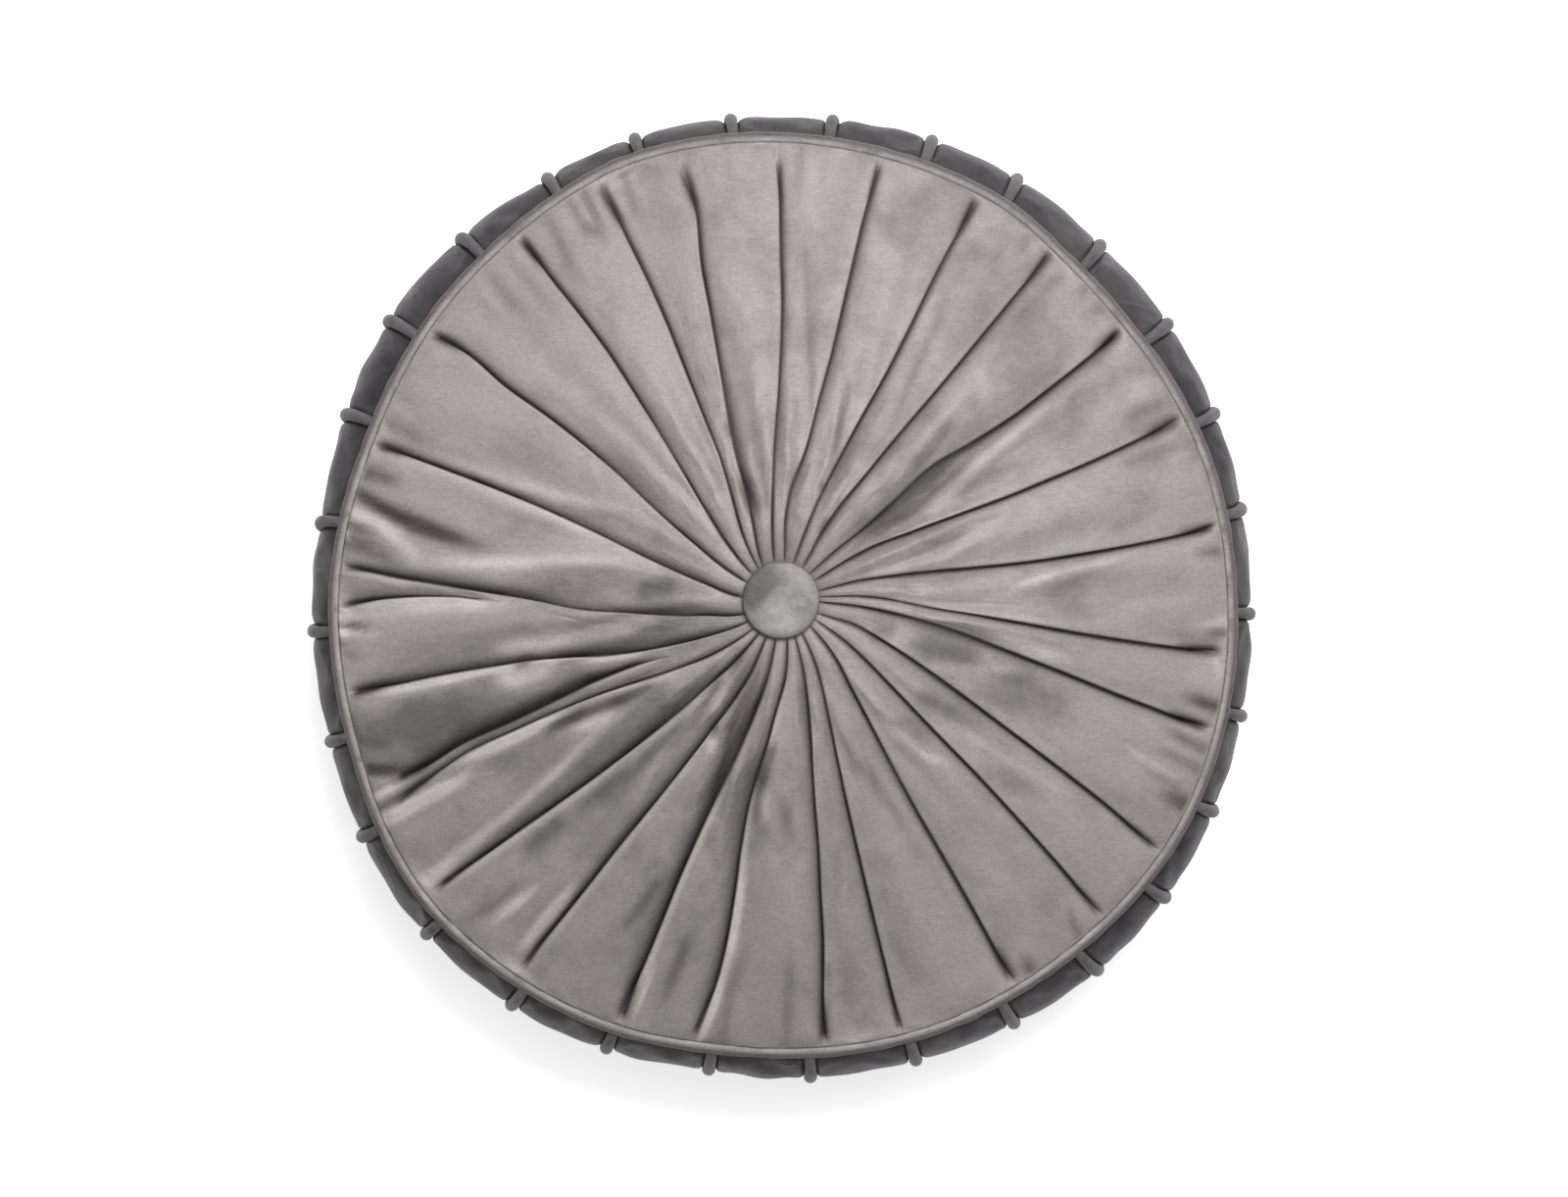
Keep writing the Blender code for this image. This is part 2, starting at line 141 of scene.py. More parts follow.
def through(xs: Sequence[float], ys: Sequence[float], x: Array) -> Array:
    """Follow a smooth curve through points, straight beyond the first and level beyond the last.

    Args:
        xs: Where the points are, rising.
        ys: The value at each point, or a row of values.
        x: Where the curve is wanted.

    Returns:
        The value, or the row of values, at each x.
    """
    xs, ys = np.asarray(xs, float), np.asarray(ys, float)
    slopes = np.gradient(ys, xs, axis=0)
    i = np.clip(np.searchsorted(xs, x, side="right") - 1, 0, len(xs) - 2)
    rows = (..., *[None] * (ys.ndim - 1))
    width = (xs[i + 1] - xs[i])[rows]
    share = np.clip((x - xs[i])[rows] / width, 0.0, 1.0)
    inside = np.minimum(x - xs[0], 0.0)[rows] * slopes[0]
    return inside + hermite(ys[i], ys[i + 1], slopes[i] * width, slopes[i + 1] * width, share)


@dataclass(frozen=True)
class Outlines:
    """How far each outline stands outside its mean radius, in mm, every so many degrees."""

    step: float = 10
    top: Numbers = (
        -2, -3, -4, -6, -7.5, -5.5, 0, 1.5, 3, 5, 6.5, 7, 3, -1, -3.5, -6.5, -8, -6.5,
        -4.5, -3.5, -1.5, 3.5, 7, 6.5, 5, 3, -0.5, -1, 0, 1, 1, 1.5, 3, 4, 2.5, 0.5,
    )
    wall: Numbers = (
        -7, -6.5, -5, -3, -1.5, -0.5, 2.5, 3, 2.5, 1.5, 3, 3, 2, 2.5, 3, -0.5, -5, -8,
        -7, -6, -3.5, 1.5, 5, 5, 4.5, 1, -2.5, -1, -0.5, 1, 3, 5.5, 5, 3, -1.5, -4,
    )
    bottom: Numbers = (
        -3, -1, 1, 3, 5, 7, 12, 17, 21, 23, 25, 24, 18, 10, 4, 0, -2, -3,
        -4, -5, -6, -7, -8, -8.5, -9, -9.5, -10, -10, -9.5, -9, -8, -7, -6, -5, -4.5, -4,
    )

    def off(self, seam: Seam, angle: Array) -> Array:
        """Return how far an outline is from its mean radius, in metres.

        Args:
            seam: Which outline.
            angle: Where round the cushion, degrees.

        Returns:
            Metres, at each angle.
        """
        table = np.asarray({Seam.TOP: self.top, Seam.WALL: self.wall, Seam.BOTTOM: self.bottom}[seam], float)
        place = np.mod(angle, 360) / self.step
        i = np.floor(place).astype(int)
        before, here, after, beyond = (table[(i + k) % len(table)] for k in (-1, 0, 1, 2))
        return hermite(here, after, (after - before) / 2, (beyond - here) / 2, place - i) / 1000


@dataclass(frozen=True)
class CushionSizes:
    """The driving dimensions that every piece of the cushion shares, in metres."""

    outlines: Outlines = Outlines()
    seam_radius: float = 0.2862  # mean radius of both welts, at the middle of their cord
    wall_radius: float = 0.3057  # mean radius of the side wall where it is widest
    welt_radius: float = 0.0041
    rib_radius: float = 0.0040
    top_height: float = 0.1145  # of the welts' cords
    bottom_height: float = 0.0145
    notch_radius: float = 0.0049  # the hollow that each welt lies in
    notch_height: float = 0.005  # the wall ends this far from the middle of a welt

    @property
    def mid_height(self) -> float:
        """Return the height halfway between the welts."""
        return (self.top_height + self.bottom_height) / 2

    @property
    def wall_half_height(self) -> float:
        """Return half the height of the side wall between its welts' hollows."""
        return (self.top_height - self.bottom_height) / 2 - self.notch_height

    def seam(self, seam: Seam, angle: Array) -> Array:
        """Return the radius of a welt's cord at an angle."""
        return self.seam_radius + self.outlines.off(seam, angle)

    def hollow(self, seam: Seam, angle: Array, turn: float) -> tuple[Array, Array]:
        """Give a point of the hollow that a welt lies in.

        Args:
            seam: The top or the bottom seam.
            angle: Angle round the cushion.
            turn: Turn round the welt's cord, 180 at the panel's side and 360 at the outer side.

        Returns:
            Radius and height.
        """
        height, up = (self.top_height, 1) if seam is Seam.TOP else (self.bottom_height, -1)
        phase = math.radians(turn)
        radius = self.seam(seam, angle) + self.notch_radius * math.cos(phase)
        return radius, np.full_like(radius, height + up * self.notch_radius * math.sin(phase))


def round_points(angle: Array, radius: Array, height: Array | float) -> Array:
    """Return points as an array whose last axis is x, y, z."""
    turn = np.radians(angle)
    return np.stack([radius * np.cos(turn), radius * np.sin(turn), height + 0 * radius], axis=-1)


def stroke(line: Crease | PileAndLight, angle: Array, radius: Array, run: float, begun: float = 0.0) -> Array:
    """Return from 0 to 1 how much of a crease, or of a painted stretch, lies at each point of the face.

    Args:
        line: The crease or the painted stretch.
        angle: Angle of each point.
        radius: Radius of each point, in metres.
        run: Share of its length over which each of its ends dies away.
        begun: How far along that run its ends begin.

    Returns:
        The share at each point.
    """
    radii = np.array(line.radii) / 1000
    aside = np.radians((angle - through(radii, line.angles, radius) + 180) % 360 - 180) * radius
    along = (radius - radii[0]) / (radii[-1] - radii[0])
    held = smooth_step(along / run + begun) * smooth_step((1 - along) / run + begun)
    return held * bell(aside, line.width / 1000)


def wavelets(seed: int, count: int, lobes: tuple[int, int], slant: float, fade: float,
             angle: Array, along: Array | float) -> Array:
    """Add up waves that run round the cushion.

    Args:
        seed: Of their random draws.
        count: How many there are.
        lobes: The fewest lobes that one has round the cushion, and one more than the most.
        slant: How far a wave may slant, in radians for each unit along.
        fade: A wave with this many lobes is half as high as a long one.
        angle: Angle of each point.
        along: How far each point is across the waves' way.

    Returns:
        The sum at each point.
    """
    dice = np.random.default_rng(seed)
    height = np.zeros_like(angle)
    for _ in range(count):
        turns = int(dice.integers(*lobes))
        lean = dice.uniform(-slant, slant)
        height += np.sin(np.radians(angle) * turns + lean * along + dice.uniform(0, math.tau)) / (1 + turns / fade)
    return height


def ring_quads(rings: int, columns: int, closed: bool = False) -> Array:
    """Return the corners of the quads between rings of points, and on from the last ring to the first if closed.

    Args:
        rings: How many rings there are.
        columns: How many points each ring has.
        closed: Whether the last ring meets the first.

    Returns:
        Quads x 4.
    """
    here = np.arange(columns)
    following = (here + 1) % columns
    inner = np.arange(rings if closed else rings - 1)[:, None] * columns
    outer = (inner + columns) % (rings * columns)
    return np.stack([inner + here, outer + here, outer + following, inner + following], axis=-1).reshape(-1, 4)


# ---- Shader nodes ----
class NodeBench:
    """Adds nodes to one tree and wires them, for finishes and shared groups alike."""

    def __init__(self, tree: bpy.types.NodeTree) -> None:
        """Keep the tree that nodes are added to."""
        self.tree = tree

    def add(self, kind: str, wires: dict | None = None, **settings: object) -> bpy.types.Node:
        """Add a node.

        Args:
            kind: Its type, without the ShaderNode prefix.
            wires: What each input gets: an output socket, or a plain value.
            settings: The node's own settings.

        Returns:
            The node.
        """
        node = self.tree.nodes.new("ShaderNode" + kind)
        for key, value in settings.items():
            setattr(node, key, value)
        return self.wire(node, wires or {})

    def wire(self, node: bpy.types.Node, wires: dict) -> bpy.types.Node:
        """Link each input that is given an output socket, and set each that is given a plain value.

        Args:
            node: The node.
            wires: What each input gets, by its name or number.

        Returns:
            The node.
        """
        for key, value in wires.items():
            if isinstance(value, bpy.types.NodeSocket):
                self.tree.links.new(value, node.inputs[key])
            else:
                node.inputs[key].default_value = value
        return node

    def sum(self, operation: str, a: object, b: object = 0.0, c: object = 0.0, clamp: bool = False) -> object:
        """Add a Math node and return its output."""
        return self.add("Math", {0: a, 1: b, 2: c}, operation=operation, use_clamp=clamp).outputs[0]

    def vector(self, operation: str, a: object, b: object = (0, 0, 0), c: object = (0, 0, 0),
               scale: object = 1.0) -> object:
        """Add a Vector Math node and return its output.

        Args:
            operation: What it does.
            a: First input.
            b: Second input.
            c: Third input, for MULTIPLY_ADD.
            scale: Factor, for SCALE.

        Returns:
            The output socket.
        """
        wires = {0: a, "Scale": scale} if operation == "SCALE" else {0: a, 1: b}
        if operation == "MULTIPLY_ADD":
            wires[2] = c
        return self.add("VectorMath", wires, operation=operation).outputs[0]

    def noise(self, place: object, scale: float = 1.0, detail: float = 2.0, roughness: float = 0.5) -> object:
        """Add a Noise Texture and return its value."""
        wires = {"Vector": place, "Scale": scale, "Detail": detail, "Roughness": roughness}
        return self.add("TexNoise", wires).outputs[0]

    def spread(self, value: object, low: float, high: float, to_low: float = 0.0, to_high: float = 1.0) -> object:
        """Add a clamped Map Range and return its output."""
        wires = {"Value": value, "From Min": low, "From Max": high, "To Min": to_low, "To Max": to_high}
        return self.add("MapRange", wires, clamp=True).outputs[0]

    def blend(self, share: object, a: object, b: object) -> object:
        """Mix two colours and return the result."""
        return self.add("Mix", {0: share, 6: a, 7: b}, data_type="RGBA").outputs[2]

    def attribute(self, name: str) -> object:
        """Read a number kept on the mesh's points."""
        return self.add("Attribute", attribute_name=name).outputs["Fac"]


def shared_group(name: str, inputs: dict[str, str], outputs: dict[str, str], wire: Callable) -> bpy.types.NodeTree:
    """Build a node group once and give it again when asked for by name.

    Args:
        name: The group's name.
        inputs: Name and kind, such as Vector or Float, of each input.
        outputs: Name and kind of each output.
        wire: Fills the group. It gets a NodeBench and the group input's outputs, and returns sockets by output name.

    Returns:
        The group.
    """
    if name in bpy.data.node_groups:
        return bpy.data.node_groups[name]
    tree = bpy.data.node_groups.new(name, "ShaderNodeTree")
    for way, sockets in (("INPUT", inputs), ("OUTPUT", outputs)):
        for socket, kind in sockets.items():
            tree.interface.new_socket(name=socket, in_out=way, socket_type="NodeSocket" + kind)
    bench = NodeBench(tree)
    entry, leaving = tree.nodes.new("NodeGroupInput"), tree.nodes.new("NodeGroupOutput")
    bench.wire(leaving, wire(bench, entry.outputs))
    return tree


@dataclass(frozen=True)
class Nap:
    """The scales of the noises that a velvet's nap and pile are made of."""

    streaks: Triple = (240.0, 5.0, 1.0)  # across and along the cloth
    broad_streaks: Triple = (70.0, 3.2, 1.0)
    clouds: float = 17.0
    crushed: float = 55.0
    crushed_shift: Triple = (3.1, 7.7, 1.3)
    curls: Triple = (11.0, 11.0, 17.0)
    curls_shift: Triple = (4.4, 1.8, 0.6)
    crease_width: float = 0.016  # as a difference of the curls' noise
    tufts: float = 1300.0
    clumps: float = 480.0
    rows: Triple = (160.0, 900.0, 160.0)

    def wire_brushing(self, bench: NodeBench, given: object) -> dict[str, object]:
        """Wire the brushed streaks, cloudy patches and fine creases that a hand leaves in velvet.

        Args:
            bench: Adds the nodes.
            given: The group's inputs.

        Returns:
            Sockets by output name.
        """
        streak = bench.noise(bench.vector("MULTIPLY", given["Cloth"], self.streaks), detail=3.0, roughness=0.55)
        broad = bench.noise(bench.vector("MULTIPLY", given["Cloth"], self.broad_streaks))
        lines = bench.sum("MULTIPLY_ADD", streak, 0.4, bench.sum("MULTIPLY", broad, 0.6))
        place = bench.vector("SCALE", given["Place"], scale=given["Fineness"])
        cloud = bench.noise(place, self.clouds, detail=4.0, roughness=0.6)
        crushed = bench.noise(bench.vector("ADD", place, self.crushed_shift), self.crushed, detail=3.0, roughness=0.55)
        marks = bench.sum("MULTIPLY_ADD", cloud, 0.65, bench.sum("MULTIPLY", crushed, 0.35))
        curl = bench.noise(bench.vector("MULTIPLY_ADD", place, self.curls, self.curls_shift), detail=1.5)
        aside = bench.sum("ABSOLUTE", bench.sum("SUBTRACT", curl, 0.5))
        fine_line = bench.spread(aside, 0.0, self.crease_width, to_low=1.0, to_high=0.0)
        creases = bench.sum("MULTIPLY", fine_line, bench.spread(cloud, low=0.44, high=0.58))
        both = bench.add("Mix", {0: given["Streakiness"], 2: marks, 3: lines}, data_type="FLOAT").outputs[0]
        return {"Tone": bench.spread(both, low=0.32, high=0.68), "Creases": creases, "Crushed": marks,
                "Streaks": bench.spread(lines, low=0.3, high=0.7)}

    def wire_pile(self, bench: NodeBench, given: object) -> dict[str, object]:
        """Wire the short pile: tufts about half a millimetre apart, in faint rows.

        Args:
            bench: Adds the nodes.
            given: The group's inputs.

        Returns:
            Sockets by output name.
        """
        tufts = bench.noise(given["Place"], self.tufts, roughness=0.6)
        clumps = bench.noise(given["Place"], self.clumps)
        rows = bench.noise(bench.vector("MULTIPLY", given["Place"], self.rows), detail=1.0)
        height = bench.sum("MULTIPLY_ADD", tufts, 0.45, bench.sum("MULTIPLY", clumps, 0.3))
        return {"Height": bench.sum("MULTIPLY_ADD", rows, 0.25, height)}


# A velvet's colour carries painted shade through the crevice mark, and painted highlights and shade through the tone
# mark.
@dataclass(frozen=True)
class Velvet:
    """A velvet finish. Its pile leans, so a stretch of it is light or dark by which way it is brushed."""

    name: str
    slot: str
    light: Triple = (0.341, 0.315, 0.3)
    dark: Triple = (0.3, 0.277, 0.266)
    deep: Triple = (0.046, 0.036, 0.035)  # painted shade colour, at the bottom of a fold and in other hollows
    crevice: float = 0.92  # how far the colour goes over to that painted shade there
    streakiness: float = 0.7  # brushed streaks against cloudy patches
    fineness: float = 1.0  # how much smaller than on the face the cloudy patches are
    lightening: float = 0.75  # how much lighter the lightest tone is painted: brushed pile and painted highlight alike
    darkening: float = 0.5
    fraying: float = 0.24  # how ragged the edge of a light place is, as a share of a dark one's
    grain: Pair = (0.76, 1.2)  # darkest and lightest tuft
    lean: float = 0.0  # how far the pile leans outwards
    relief: float = 0.00022  # height of the pile's bumps
    streak_relief: float = 1.4  # of the streaks, against the pile's
    crease_relief: float = 2.0  # of the wall's creases
    crush: float = 0.0006  # height of the crushed patches
    roughness: float = 0.56
    roughness_spread: float = 0.07
    satin: float = 0.17  # how much the brushed pile mirrors the light
    specular: float = 0.2
    sheen: float = 0.04
    sheen_roughness: float = 0.4
    sheen_tint: Triple = (0.82, 0.8, 0.8)
    wall_colour_and_shade: Triple | None = None  # of the side wall, pile lying upwards and painted shade
    side_light: Triple = (0.078, 0.073, 0.077)  # and of its lighter patches, painted dark the same way
    side_creases: float = 0.2  # how much lighter its creases are
    nap: Nap = Nap()

    def material(self) -> bpy.types.Material:
        """Build the finish as a node material.

        Returns:
            The material.
        """
        made = bpy.data.materials.new(self.name)
        made.use_nodes = True
        bench = NodeBench(made.node_tree)
        place = bench.add("TexCoord").outputs["Object"]
        brushing = {"Cloth": bench.add("UVMap", uv_map="cloth").outputs[0], "Place": place,
                    "Streakiness": self.streakiness, "Fineness": self.fineness}
        nap = bench.add("Group", brushing, node_tree=shared_group(
            "velvet_nap", {"Cloth": "Vector", "Place": "Vector", "Streakiness": "Float", "Fineness": "Float"},
            {"Tone": "Float", "Streaks": "Float", "Crushed": "Float", "Creases": "Float"},
            self.nap.wire_brushing)).outputs
        pile = bench.add("Group", {"Place": place}, node_tree=shared_group(
            "velvet_pile", {"Place": "Vector"}, {"Height": "Float"}, self.nap.wire_pile)).outputs
        smooth, rough = self.roughness - self.roughness_spread, self.roughness + self.roughness_spread
        bench.wire(made.node_tree.nodes["Principled BSDF"], {
            "Base Color": self._colour(bench, nap, pile), "Normal": self._normal(bench, nap, pile, place),
            "Roughness": bench.spread(nap["Streaks"], 0.0, 1.0, to_low=smooth, to_high=rough),
            "Metallic": self.satin, "Specular IOR Level": self.specular, "Sheen Weight": self.sheen,
            "Sheen Roughness": self.sheen_roughness, "Sheen Tint": (*self.sheen_tint, 1.0)})
        return made

    def _colour(self, bench: NodeBench, nap: object, pile: object) -> object:
        """Wire the colour: pile tone with painted highlights and shade, painted shade deep in the folds, pile grain.

        Args:
            bench: Adds the nodes.
            nap: Outputs of the nap's group.
            pile: Outputs of the pile's group.

        Returns:
            The colour's socket.
        """
        colour = bench.blend(nap["Tone"], (*self.dark, 1.0), (*self.light, 1.0))
        # The side wall takes its own colour, painted far darker with shade.
        if self.wall_colour_and_shade:
            mottled = bench.spread(nap["Crushed"], low=0.36, high=0.64)
            shade = bench.blend(mottled, (*self.wall_colour_and_shade, 1.0), (*self.side_light, 1.0))
            creased = bench.sum("MULTIPLY_ADD", nap["Creases"], self.side_creases, 1.0)
            colour = bench.blend(bench.attribute("side"), colour, bench.vector("SCALE", shade, scale=creased))
        # The tone mark paints the pile's tone together with painted highlights and painted shade.
        tone = bench.attribute("tone")
        frayed = bench.spread(nap["Crushed"], low=0.32, high=0.68, to_low=-0.5, to_high=0.5)
        darker = bench.sum("SUBTRACT", bench.sum("MULTIPLY", tone, -1.0), frayed)
        darker = bench.spread(darker, low=0.1, high=1.15)
        lighter = bench.spread(bench.sum("MULTIPLY_ADD", frayed, self.fraying, tone), low=0.1, high=1.3)
        toned = bench.sum("MULTIPLY_ADD", lighter, self.lightening, 1.0)
        toned = bench.sum("MULTIPLY_ADD", darker, -self.darkening, toned)
        colour = bench.vector("SCALE", colour, scale=toned)
        # The crevice mark paints shade over the colour, with ragged edges.
        ragged = bench.spread(nap["Crushed"], low=0.3, high=0.7, to_low=0.7, to_high=1.3)
        depth = bench.sum("MULTIPLY", bench.attribute("crevice"), bench.sum("MULTIPLY", ragged, self.crevice),
                          clamp=True)
        colour = bench.blend(depth, colour, (*self.deep, 1.0))
        dark, light = self.grain
        grain = bench.spread(pile["Height"], low=0.3, high=0.7, to_low=dark, to_high=light)
        return bench.vector("SCALE", colour, scale=grain)

    def _normal(self, bench: NodeBench, nap: object, pile: object, place: object) -> object:
        """Wire the normal: the relief of pile, streaks and creases, crushed patches, and the pile's lean.

        Args:
            bench: Adds the nodes.
            nap: Outputs of the nap's group.
            pile: Outputs of the pile's group.
            place: Where a point is.

        Returns:
            The normal's socket.
        """
        height = bench.sum("MULTIPLY_ADD", nap["Streaks"], self.streak_relief, pile["Height"])
        if self.wall_colour_and_shade:
            raised = bench.sum("MULTIPLY", nap["Creases"], bench.attribute("side"))
            height = bench.sum("MULTIPLY_ADD", raised, self.crease_relief, height)
        bump = bench.add("Bump", {"Height": height, "Distance": self.relief, "Strength": 1.0})
        crushed = bench.add("Bump", {"Height": nap["Crushed"], "Distance": self.crush,
                                     "Normal": bump.outputs["Normal"]})
        if not self.lean:
            return crushed.outputs["Normal"]
        outward = bench.vector("NORMALIZE", bench.vector("MULTIPLY", place, (1.0, 1.0, 0.0)))
        still = bench.sum("SUBTRACT", 1.0, bench.attribute("side"), clamp=True)
        leaning = bench.vector("SCALE", outward, scale=bench.sum("MULTIPLY", still, self.lean))
        return bench.vector("NORMALIZE", bench.vector("ADD", crushed.outputs["Normal"], leaning))


# ---- Meshes from grids of points ----
@dataclass
class Patch:
    """Rings of points from the middle outwards, with what the finish reads at each of them."""

    places: Array  # rings x columns x 3
    cloth: Array  # rings x columns x 2: where each point is on the cloth, round it and along it
    crevice: Array  # rings x columns, painted shade: 1 at the bottom of a fold
    side: Array  # rings x columns, 0 on the face and 1 on the side wall
    tone: Array | None = None  # rings x columns, lighter or below 0 darker: pile tone, painted highlight and shade

    def __post_init__(self) -> None:
        """Leave the tone at 0, neither lightened nor darkened, where nothing else is said."""
        if self.tone is None:
            self.tone = np.zeros(self.places.shape[:2])

    def then(self, other: "Patch") -> "Patch":
        """Return this patch with another's rings after its own."""
        return Patch(**{name: np.concatenate([getattr(self, name), getattr(other, name)])
                        for name in ("places", "cloth", *MARKS)})


class Skin:
    """Makes a mesh object out of a patch, and rides it on the cushion."""

    def __init__(self, name: str, finish: Velvet, material: bpy.types.Material) -> None:
        """Keep the piece's name and its finish."""
        self.name, self.finish, self.material = name, finish, material

    def loft(self, patch: Patch, poles: tuple[Vector, Vector] | None) -> bpy.types.Object:
        """Make a mesh through closed rings, which lie round the piece or along a cord.

        Args:
            patch: The rings.
            poles: The points that close the first and the last ring, or None where the last ring meets the first.

        Returns:
            The object.
        """
        closed = poles is None
        rings, columns = patch.places.shape[:2]
        points = patch.places.reshape(-1, 3)
        faces = ring_quads(rings, columns, closed).tolist()
        cloth = self._corners(patch.cloth, closed)
        if not closed:
            count, here = len(points), np.arange(columns)
            following, last = (here + 1) % columns, (rings - 1) * columns
            points = np.concatenate([points, np.array(poles, float)])
            faces += np.stack([np.full(columns, count), here, following], axis=1).tolist()
            faces += np.stack([np.full(columns, count + 1), last + following, last + here], axis=1).tolist()
            cloth = np.concatenate([cloth, *(np.repeat(patch.cloth[ring], 3, axis=0) for ring in (0, -1))])
        mesh = bpy.data.meshes.new(self.name)
        mesh.from_pydata(points.tolist(), [], faces)
        mesh.uv_layers.new(name="cloth").data.foreach_set("uv", cloth.ravel())
        for name in MARKS:
            values = getattr(patch, name).ravel()
            if not closed:
                values = np.append(values, (0.0, 1.0 if name == "side" else 0.0))
            mesh.attributes.new(name, "FLOAT", "POINT").data.foreach_set("value", values.astype(np.float32))
        mesh.shade_smooth()
        mesh.materials.append(self.material)
        made = bpy.data.objects.new(self.name, mesh)
        bpy.context.scene.collection.objects.link(made)
        return made

    @staticmethod
    def _corners(cloth: Array, closed: bool) -> Array:
        """Return the cloth place of each corner of the quads, carried on past the last column and the last ring.

        Args:
            cloth: Rings x columns x 2.
            closed: Whether the last ring meets the first.

        Returns:
            Corners x 2.
        """
        if closed:
            cloth = np.concatenate([cloth, cloth[:1] + (0.0, 2 * cloth[-1, 0, 1] - cloth[-2, 0, 1])])
        shifted = np.roll(cloth, -1, axis=1)
        shifted[:, -1, 0] = 2 * cloth[:, -1, 0] - cloth[:, -2, 0]
        return np.stack([cloth[:-1], cloth[1:], shifted[1:], shifted[:-1]], axis=2).reshape(-1, 2)

    def hand_over(self, made: bpy.types.Object, node: str) -> bpy.types.Object:
        """Ride the piece on the cushion, in place of its CAD node, which it hides.

        Args:
            made: The piece.
            node: The node that it stands for.

        Returns:
            The piece.
        """
        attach(made, BODY)
        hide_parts(node)
        return made


# ---- The filling ----
@dataclass(frozen=True)
class Filling:
    """The loose filling, which presses the cover out between its stitches and puckers it beside them."""

    pressure: float = 4.0
    frames: int = 20
    quality: int = 5
    mass: float = 0.3
    stretch: float = 15  # stiffness of the cloth against being stretched or pressed together
    shear: float = 5
    bending: float = 0.5
    loose: float = 0.01  # points held less than this are free

    def press(self, patch: Patch, rings: Array, columns: Array, held: Array, slack: float, limit: float) -> None:
        """Press a patch out from inside, by a cloth simulation of a coarser copy of it.

        Args:
            patch: The patch, whose places change.
            rings: Which of its rings the copy has, rising.
            columns: Which of its columns the copy has, rising.
            held: How firmly stitches hold each of its points, rings x columns.
            slack: How much longer the cloth is cut than its place, as a share.
            limit: How far a point may move, in metres.
        """
        before = patch.places[np.ix_(rings, columns)]
        coarse = self._copy(before, held[np.ix_(rings, columns)])
        cloth = coarse.modifiers.new("Filling", "CLOTH")
        settings = cloth.settings
        settings.quality, settings.mass = self.quality, self.mass
        settings.tension_stiffness = settings.compression_stiffness = self.stretch
        settings.shear_stiffness, settings.bending_stiffness = self.shear, self.bending
        settings.use_pressure = True
        settings.uniform_pressure_force = self.pressure
        settings.effector_weights.gravity = 0
        settings.vertex_group_mass = "held"
        settings.shrink_min = -slack
        cloth.point_cache.frame_start, cloth.point_cache.frame_end = 1, self.frames
        for step in range(1, self.frames + 1):
            bpy.context.scene.frame_set(step)
        bpy.ops.object.select_all(action="DESELECT")
        bpy.context.view_layer.objects.active = coarse
        bpy.ops.object.modifier_apply(modifier=cloth.name)
        after = np.empty(before.size, np.float32)
        coarse.data.vertices.foreach_get("co", after)
        bpy.data.meshes.remove(coarse.data)
        bpy.context.scene.frame_set(1)
        moved = after.reshape(before.shape) - before
        length = np.linalg.norm(moved, axis=2, keepdims=True)
        LOG.info("filling pressed %d points by up to %.1f mm", length.size, 1000 * length.max())
        moved *= limit * np.tanh(length / limit) / np.maximum(length, 1e-9)
        patch.places += self._carried(moved, rings, columns, patch.places.shape)

    def _copy(self, places: Array, held: Array) -> bpy.types.Object:
        """Make a mesh object of a grid that closes round, with a group of the points that are held.

        Args:
            places: Rings x columns x 3.
            held: How firmly each point is held.

        Returns:
            The object.
        """
        mesh = bpy.data.meshes.new("filled_cloth")
        mesh.from_pydata(places.reshape(-1, 3).tolist(), [], ring_quads(*places.shape[:2]).tolist())
        made = bpy.data.objects.new("filled_cloth", mesh)
        bpy.context.scene.collection.objects.link(made)
        group = made.vertex_groups.new(name="held")
        for index, weight in enumerate(held.ravel()):
            if weight > self.loose:
                group.add([index], float(min(weight, 1.0)), "REPLACE")
        return made

    @staticmethod
    def _carried(moved: Array, rings: Array, columns: Array, shape: tuple[int, ...]) -> Array:
        """Carry a coarse grid's moves over to the grid that it was taken from, along smooth curves.

        Args:
            moved: How far each point of the coarse grid moves.
            rings: The numbers of its rings in the full grid.
            columns: The numbers of its columns there.
            shape: The full grid's shape.

        Returns:
            How far each of the full grid's points moves.
        """
        count, over = shape[1], 3  # columns that the curves go on for past both ends of the row
        round_columns = np.concatenate([columns[-over:] - count, columns, columns[:over] + count])
        round_moved = np.concatenate([moved[:, -over:], moved, moved[:, :over]], axis=1)
        across = through(round_columns, round_moved.swapaxes(0, 1), np.arange(count)).swapaxes(0, 1)
        inside = np.arange(rings[0], rings[-1] + 1)
        full = np.zeros(shape)
        full[inside] = through(rings, across, inside)
        return full


